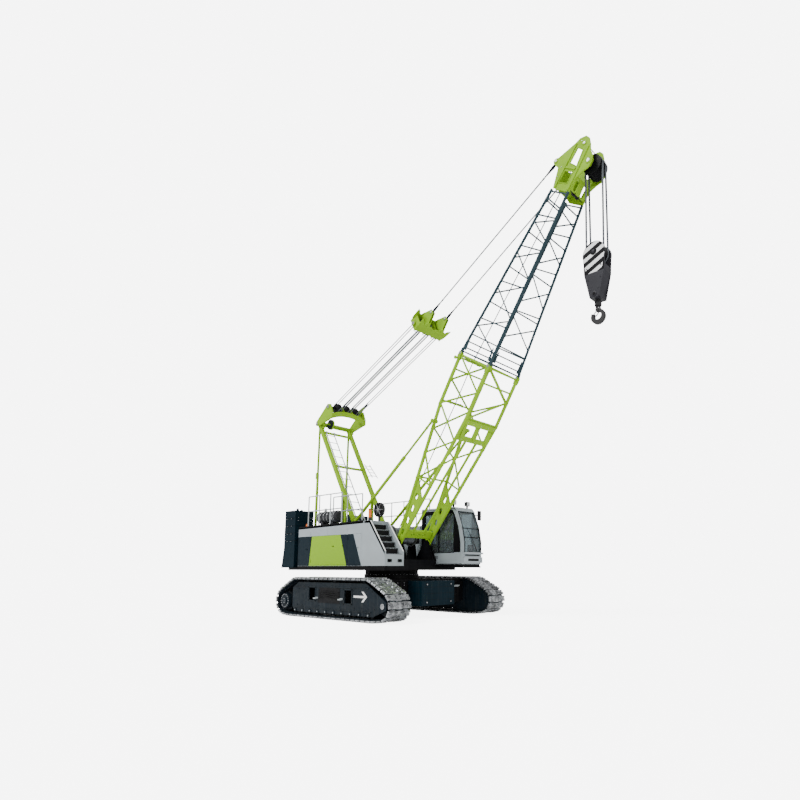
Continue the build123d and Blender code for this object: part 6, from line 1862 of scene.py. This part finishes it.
@dataclass
class Backstops:
    """The collars of the backstop tubes, and the collars and pin caps of their rods."""

    low: Vector = Vector((-1.1, 0, 3.22)).freeze()
    high: Vector = boom_point(4.19, 0.55).freeze()
    side: float = 0.85

    def build(self) -> None:
        """Dresses the backstops."""
        run = (self.high - self.low).normalized()
        tubes, rods = Form(), Form()
        for sign in (-1, 1):
            base = self.low + aside(sign * self.side)
            for along in (0.14, 1.6, 3.2):
                profile = [(along - 0.03, 0.054), (along - 0.022, 0.063), (along + 0.022, 0.063),
                    (along + 0.03, 0.054)]
                tubes.spin(base, run, profile, 24)
            tubes.spin(base, run, [(3.26, 0.0465), (3.26, 0.062), (3.33, 0.062), (3.34, 0.05),
                (3.34, 0.0465)], 24)
            end = self.high + aside(sign * self.side)
            for along in (0.09, 0.3):
                rods.spin(end, -run, [(along, 0.037), (along + 0.01, 0.046), (along + 0.05, 0.046),
                    (along + 0.06, 0.037)], 20)
            rods.spin(end + aside(sign * 0.038), (0, sign, 0),
                [(0, 0.035), (0.012, 0.035), (0.016, 0.028)], 16)
        tubes.piece("backstop_collars", Slot.LIME, "backstop_tubes")
        rods.piece("backstop_rod_ends", Slot.LIME, "backstop_rods")


@dataclass
class HookBlock:
    """The block's stripes, rims, bolts and guards, and the hook's latch and swivel."""

    axis: Vector = Vector((boom_point(12.7, -0.74).x, 0, 10.3)).freeze()
    cheek: float = 0.21
    crown: float = 0.3
    shoulder: Pair = (0.33, -0.15)
    waist: Pair = (0.31, -0.6)
    foot: Pair = (0.15, -1.31)
    stripe: float = 0.118
    stripe_pitch: float = 0.262
    stripe_slope: float = 0.45
    first_stripe: float = -0.9
    plate: float = 0.168
    bolts: tuple[Pair, ...] = (
        (-0.22, -0.45), (0.22, -0.45), (-0.19, -0.78), (0.19, -0.78), (-0.12, -1.08), (0.12, -1.08))

    def outline(self, inset: float = 0.0) -> list[Pair]:
        """The cheek's outline above its waist, counter-clockwise, moved inwards by inset."""
        half, low = self.shoulder
        reach = (half ** 2 + (self.crown - low) ** 2) / (2 * (self.crown - low))
        middle = self.crown - reach
        start = degrees(atan2(low - middle, half))
        points = []
        for step in range(17):
            turn = radians(start + (180 - 2 * start) * step / 16)
            points.append(((reach - inset) * cos(turn), middle + (reach - inset) * sin(turn)))
        return [(self.waist[0] - inset, self.waist[1])] + points + [(-self.waist[0] + inset, self.waist[1])]

    def build(self) -> None:
        """Dresses the block and the hook."""
        axis, waist = self.axis, self.waist
        white, black, grey, bare = Form(), Form(), Form(), Form()
        frame = self.outline(0.006)
        for sign in (-1, 1):
            face = Face(axis + aside(sign * self.cheek), (1, 0, 0), (0, 0, 1), (0, sign, 0))
            black.sheet(face, self.outline(0.002), (0, 0.003))
            for index in range(6):
                low = self.first_stripe + index * self.stripe_pitch
                rise = self.stripe_slope * self.shoulder[0]
                band = [(-self.shoulder[0], low - rise), (self.shoulder[0], low + rise),
                    (self.shoulder[0], low + rise + self.stripe),
                    (-self.shoulder[0], low - rise + self.stripe)]
                shape = clipped(band, frame)
                if len(shape) > 2:
                    white.sheet(face, shape, (0.003, 0.005))
            black.stud(face, 0, 0, 0.095, 0.022, 24, 0.003)
            grey.stud(face, 0, 0, 0.05, 0.012, 20, 0.025)
            for x, z in self.bolts:
                grey.stud(face, x, z, 0.02, 0.014, 6, 0.003)
            grey.ring(face, (0, 0), 0.07, 6, 0.01, 0.01, 6, 0.025)
            lower = [(0.3, -0.62), (-0.3, -0.62), (-0.145, -1.29), (0.145, -1.29)]
            grey.sheet(face, list(reversed(lower)), (0, 0.004))
            grey.stud(face, 0, -1.22, 0.07, 0.02, 24)
            black.stud(face, 0, -1.22, 0.04, 0.01, 20, 0.02)
        for x, z in self.bolts:
            spot = axis + Vector((x, 0, z))
            bare.tube([spot - aside(0.175), spot + aside(0.175)], 0.018, 10)
        for sign in (-1, 1):
            edge = [(waist[0] - 0.015, -0.4), (waist[0] - 0.012, -0.6), (self.foot[0] - 0.012, -1.16)]
            points = [axis + Vector((sign * x, 0, z)) for x, z in edge]
            for start, end in zip(points, points[1:]):
                way = (end - start).normalized()
                out = Vector((way.z, 0, -way.x)) * 0.005
                grey.loft([[spot + out + aside(-self.plate), spot + out + aside(self.plate),
                    spot - out + aside(self.plate), spot - out + aside(-self.plate)]
                    for spot in (start, end)])
        for y in (-self.plate, self.plate):
            rim = [axis + Vector((x * 0.985, y, z)) for x, z in self.outline(0.012)]
            grey.tube(rim, 0.01, 6)
        bar = [axis + Vector((0, -self.plate, 0.285)), axis + Vector((0, self.plate, 0.285))]
        grey.tube(bar, 0.016, 8)
        white.piece("block_white_stripes", Slot.WHITE, "hook_block", slot=Slot.BLOCK)
        black.piece("block_black_ground", Slot.BLACK, "hook_block")
        grey.piece("block_guards", Slot.BLOCK, "hook_block", 0.001)
        bare.piece("block_bolts", Slot.BARE, "hook_block")
        self.swivel()

    def swivel(self) -> None:
        """Adds the hook's nut, its rounded back and a sprung latch across the throat."""
        iron, latch = Form(), Form()
        x, top = self.axis.x, self.axis.z + self.foot[1]
        iron.spin((x, 0, top - 0.06), (0, 0, 1), [(-0.13, 0.088), (-0.11, 0.098), (-0.03, 0.098),
            (0, 0.084)], 24)
        iron.spin((x, 0, top - 0.34), (0, 0, 1), [(0, 0.075), (0.03, 0.082), (0.07, 0.082), (0.1, 0.07)], 24)
        low = top - 0.7
        centre = Vector((x, 0, low + 0.215))
        iron.tube(arc(centre, (0.162, 0, 0), (0, 0, 0.162), 158, 432, 30), 0.052, 14)
        for y in (-0.062, 0.062):
            latch.sheet(Face((x, y, low), (1, 0, 0), (0, 0, 1), (0, 1, 0)),
                [(0.03, 0.42), (0.07, 0.44), (-0.09, 0.26), (-0.12, 0.29)], (-0.004, 0.004))
        latch.tube([(x + 0.05, -0.07, low + 0.43), (x + 0.05, 0.07, low + 0.43)], 0.012, 8)
        iron.piece("hook_curves", Slot.IRON, "hook", crease=50)
        latch.piece("hook_latch", Slot.BARE, "hook")


@dataclass
class Lattice:
    """The tip section's tubes, drawn round and as slender as the real ones, over the frame's own bars."""

    start: float = 6.508
    end: float = 11.8
    chord: float = 0.043
    brace: float = 0.0235
    left_ties: tuple[float, ...] = (6.56, 7.12, 8.42, 9.78, 10.88, 11.74)
    right_ties: tuple[float, ...] = (6.56, 7.7, 8.93, 10.07, 11.03, 11.74)
    face_ties: tuple[float, ...] = (6.56, 7.15, 8.25, 9.4, 10.5, 11.48)
    sway_ties: tuple[float, ...] = (6.7, 6.9)
    upper_gap: float = 0.2
    lower_gap: float = 0.28
    shortest_bay: float = 0.65

    def spot(self, along: float, level: int, sign: int) -> Vector:
        """A point on a chord: level 0 is the back, 1 the front."""
        rows = Boom().chord(along)
        return boom_point(along, rows[level], sign * rows[2])

    def build(self) -> None:
        """Draws the tip section and puts it in the place of its bars."""
        for name, sign, ties in (("left", 1, self.left_ties), ("right", -1, self.right_ties)):
            side = Form()
            for level in (0, 1):
                side.tube([self.spot(along, level, sign) for along in (self.start, self.end)],
                    self.chord, 16)
            for along in ties:
                side.tube([self.spot(along, 0, sign), self.spot(along, 1, sign)], self.brace, 10)
            for low, high in zip(ties, ties[1:]):
                if high - low > self.shortest_bay:
                    side.tube([self.spot(high - self.upper_gap, 0, sign),
                        self.spot(low + self.lower_gap, 1, sign)], self.brace, 10)
            made = side.piece(f"tip_tubes_{name}", Slot.SLATE, "boom")
            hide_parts(f"boom_tip_{name}")
        across = Form()
        for level in (0, 1):
            for along in self.face_ties:
                across.tube([self.spot(along, level, -1), self.spot(along, level, 1)], self.brace, 10)
            for low, high in zip(self.face_ties, self.face_ties[1:]):
                if high - low > self.shortest_bay:
                    across.tube([self.spot(low + self.lower_gap, level, -1),
                        self.spot(high - self.upper_gap, level, 1)], self.brace, 10)
        for along in self.sway_ties:
            across.tube([self.spot(along, 0, -1), self.spot(along, 1, 1)], self.brace, 10)
        made = across.piece("tip_cross_tubes", Slot.SLATE, "boom")
        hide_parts("boom_tip_lacing")


@dataclass
class Rigging:
    """Every running and standing rope, drawn from sheave to sheave."""

    rope: float = 0.017
    hoist_rope: float = 0.03
    head_axis: Vector = boom_point(12.7, -0.74).freeze()
    block_level: float = 10.3
    fall_reach: float = 0.267
    head_rows: tuple[float, ...] = (-0.09, 0.09)
    block_rows: tuple[float, ...] = (-0.125, 0.125)
    gantry_axis: Vector = Vector((-2.99, 0, 7.86)).freeze()
    bridle_axis: Vector = Vector((1.6, 0, 10.0)).freeze()
    hoist_radius: float = 0.187
    hoist_rows: tuple[float, ...] = (-0.45, -0.35, -0.05, 0.05, 0.35, 0.45)
    drum: Vector = Vector((0.43, 0, 2.74)).freeze()
    drum_half: float = 0.44
    turns: int = 34

    def build(self) -> None:
        """Makes all ropes."""
        self.hoist()
        self.boom_hoist()
        self.over_the_boom()
        self.windings()

    def hoist(self) -> None:
        """The falls from the head to the hook block, and where they pass round the sheaves."""
        falls = Form()
        across = Vector((self.fall_reach, 0, 0))
        rise = Vector((0, 0, self.fall_reach))
        block_axis = Vector((self.head_axis.x, 0, self.block_level))
        for high_y, low_y in zip(self.head_rows, self.block_rows):
            for sign in (-1, 1):
                top = self.head_axis + across * sign + aside(high_y)
                falls.tube([top, block_axis + across * sign + aside(low_y)], self.hoist_rope, 8)
        made = falls.piece("hoist_ropes", Slot.ROPE, "")
        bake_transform(made)
        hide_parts("hoist_falls", "block_falls")
        over, under = Form(), Form()
        for y in self.head_rows:
            over.tube(arc(self.head_axis + aside(y), across, rise, 0, 180, 18), self.hoist_rope, 8)
        for y in self.block_rows:
            under.tube(arc(block_axis + aside(y), across, rise, 180, 360, 18), self.hoist_rope, 8)
        over.piece("hoist_rope_over_head", Slot.ROPE, "hoist_line")
        under.piece("hoist_rope_under_block", Slot.ROPE, "hook_block")

    def boom_hoist(self) -> None:
        """The falls between the gantry and the bridle, over and under their sheaves."""
        gantry_axis, bridle_axis = self.gantry_axis, self.bridle_axis
        run = (bridle_axis - gantry_axis).normalized()
        up = Vector((-run.z, 0, run.x))
        falls, front, rear = Form(), Form(), Form()
        for y in self.hoist_rows:
            side = aside(y)
            for step in (-1, 1):
                lift = up * self.hoist_radius * step + side
                falls.tube([gantry_axis + lift, bridle_axis + lift], self.rope, 8)
            reach = run * self.hoist_radius
            lift = up * self.hoist_radius
            front.tube(arc(bridle_axis + side, reach, lift, -90, 90, 14), self.rope, 8)
            rear.tube(arc(gantry_axis + side, -reach, lift, -90, 90, 14), self.rope, 8)
        made = falls.piece("boom_hoist_ropes", Slot.ROPE, "")
        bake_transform(made)
        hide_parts("gantry_falls", "bridle_falls")
        front.piece("boom_hoist_rope_round_bridle", Slot.ROPE, "bridle")
        rear.piece("boom_hoist_rope_round_gantry", Slot.ROPE, "upper")

    def over_the_boom(self) -> None:
        """The hoist rope from its drum over the guide rollers on the boom's back to the head."""
        start = self.drum + BOOM_ABOVE * 0.29 + aside(0.06)
        places = ((4.9, 0.815), (6.35, 0.815), (12.36, 0.165))
        stops = [boom_point(along, above, 0.06) for along, above in places]
        lead, run = Form(), Form()
        lead.tube([start, stops[0]], self.rope, 8)
        run.tube(stops, self.rope, 8)
        made = lead.piece("hoist_rope_lead", Slot.ROPE, "")
        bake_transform(made)
        run.piece("hoist_rope_on_boom", Slot.ROPE, "boom")
        rollers, forks = Form(), Form()
        for along in (4.9, 6.35):
            profile = [(-0.26, 0.05), (-0.24, 0.05), (-0.22, 0.038), (0.22, 0.038),
                (0.24, 0.05), (0.26, 0.05)]
            rollers.spin(boom_point(along, 0.763), (0, 1, 0), profile, 16)
            for y in (-0.275, 0.275):
                face = boom_side(1, y, along)
                forks.sheet(face, [(-0.05, 0.66), (0.05, 0.66), (0.03, 0.79), (-0.03, 0.79)], (-0.01, 0.01))
            forks.tube([boom_point(along, 0.662, -0.7), boom_point(along, 0.662, 0.7)], 0.03, 10)
        rollers.piece("boom_back_rollers", Slot.NYLON, "boom")
        forks.piece("boom_back_roller_forks", Slot.LIME, "boom", 0.003)

    def windings(self) -> None:
        """The rope wound on each drum."""
        for name, x, z, radius in (("main", 0.43, 2.74, 0.26), ("aux", -0.48, 2.56, 0.25),
                ("luffing", -1.9, 2.4, 0.21)):
            pitch = 2 * self.drum_half / self.turns
            profile = [(-self.drum_half, radius)]
            for turn in range(self.turns):
                low = -self.drum_half + turn * pitch
                for share, rise in ((0.15, 0.012), (0.5, 0.02), (0.85, 0.012), (1.0, 0.002)):
                    profile.append((low + share * pitch, radius + rise))
            wound = Form().spin((x, 0, z), (0, 1, 0), profile, 28)
            wound.piece(f"rope_on_{name}_drum", Slot.ROPE, f"drum_{name}", crease=60)


def dress_frame(frame: dict) -> None:
    """Gives every node of the loaded frame its finish."""
    banded = ("house_right", "door_rear_right", "door_middle_right", "door_front_right")
    repainted = {name: Slot.LIVERY for name in banded}
    repainted |= {"backstop_rods": Slot.LIME, "slew_ring": Slot.BLACK}
    for part in frame["record"]["subparts"]:
        name = part["node"]
        finish = repainted.get(name, Slot(part["material_slot"]))
        materials = frame["nodes"][name].data.materials
        materials.clear()
        materials.append(Form.paint[finish])
        log.info("%s: %s", name, finish.value)


def main() -> None:
    """Builds the looks of the crane, one sub-assembly after another."""
    logging.basicConfig(level=logging.INFO, format="%(message)s")
    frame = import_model()
    Studio().build()
    Form.paint.update((slot, finish.material()) for slot, finish in FINISHES.items())
    dress_frame(frame)
    for assembly in (Crawlers(), Carbody(), Houses(), Cab(), Counterweight(), Gantry(), Boom(), Bridle(),
            Backstops(), HookBlock(), Lattice(), Rigging()):
        assembly.build()
        log.info("%s is dressed", type(assembly).__name__)


if __name__ == "__main__":
    main()
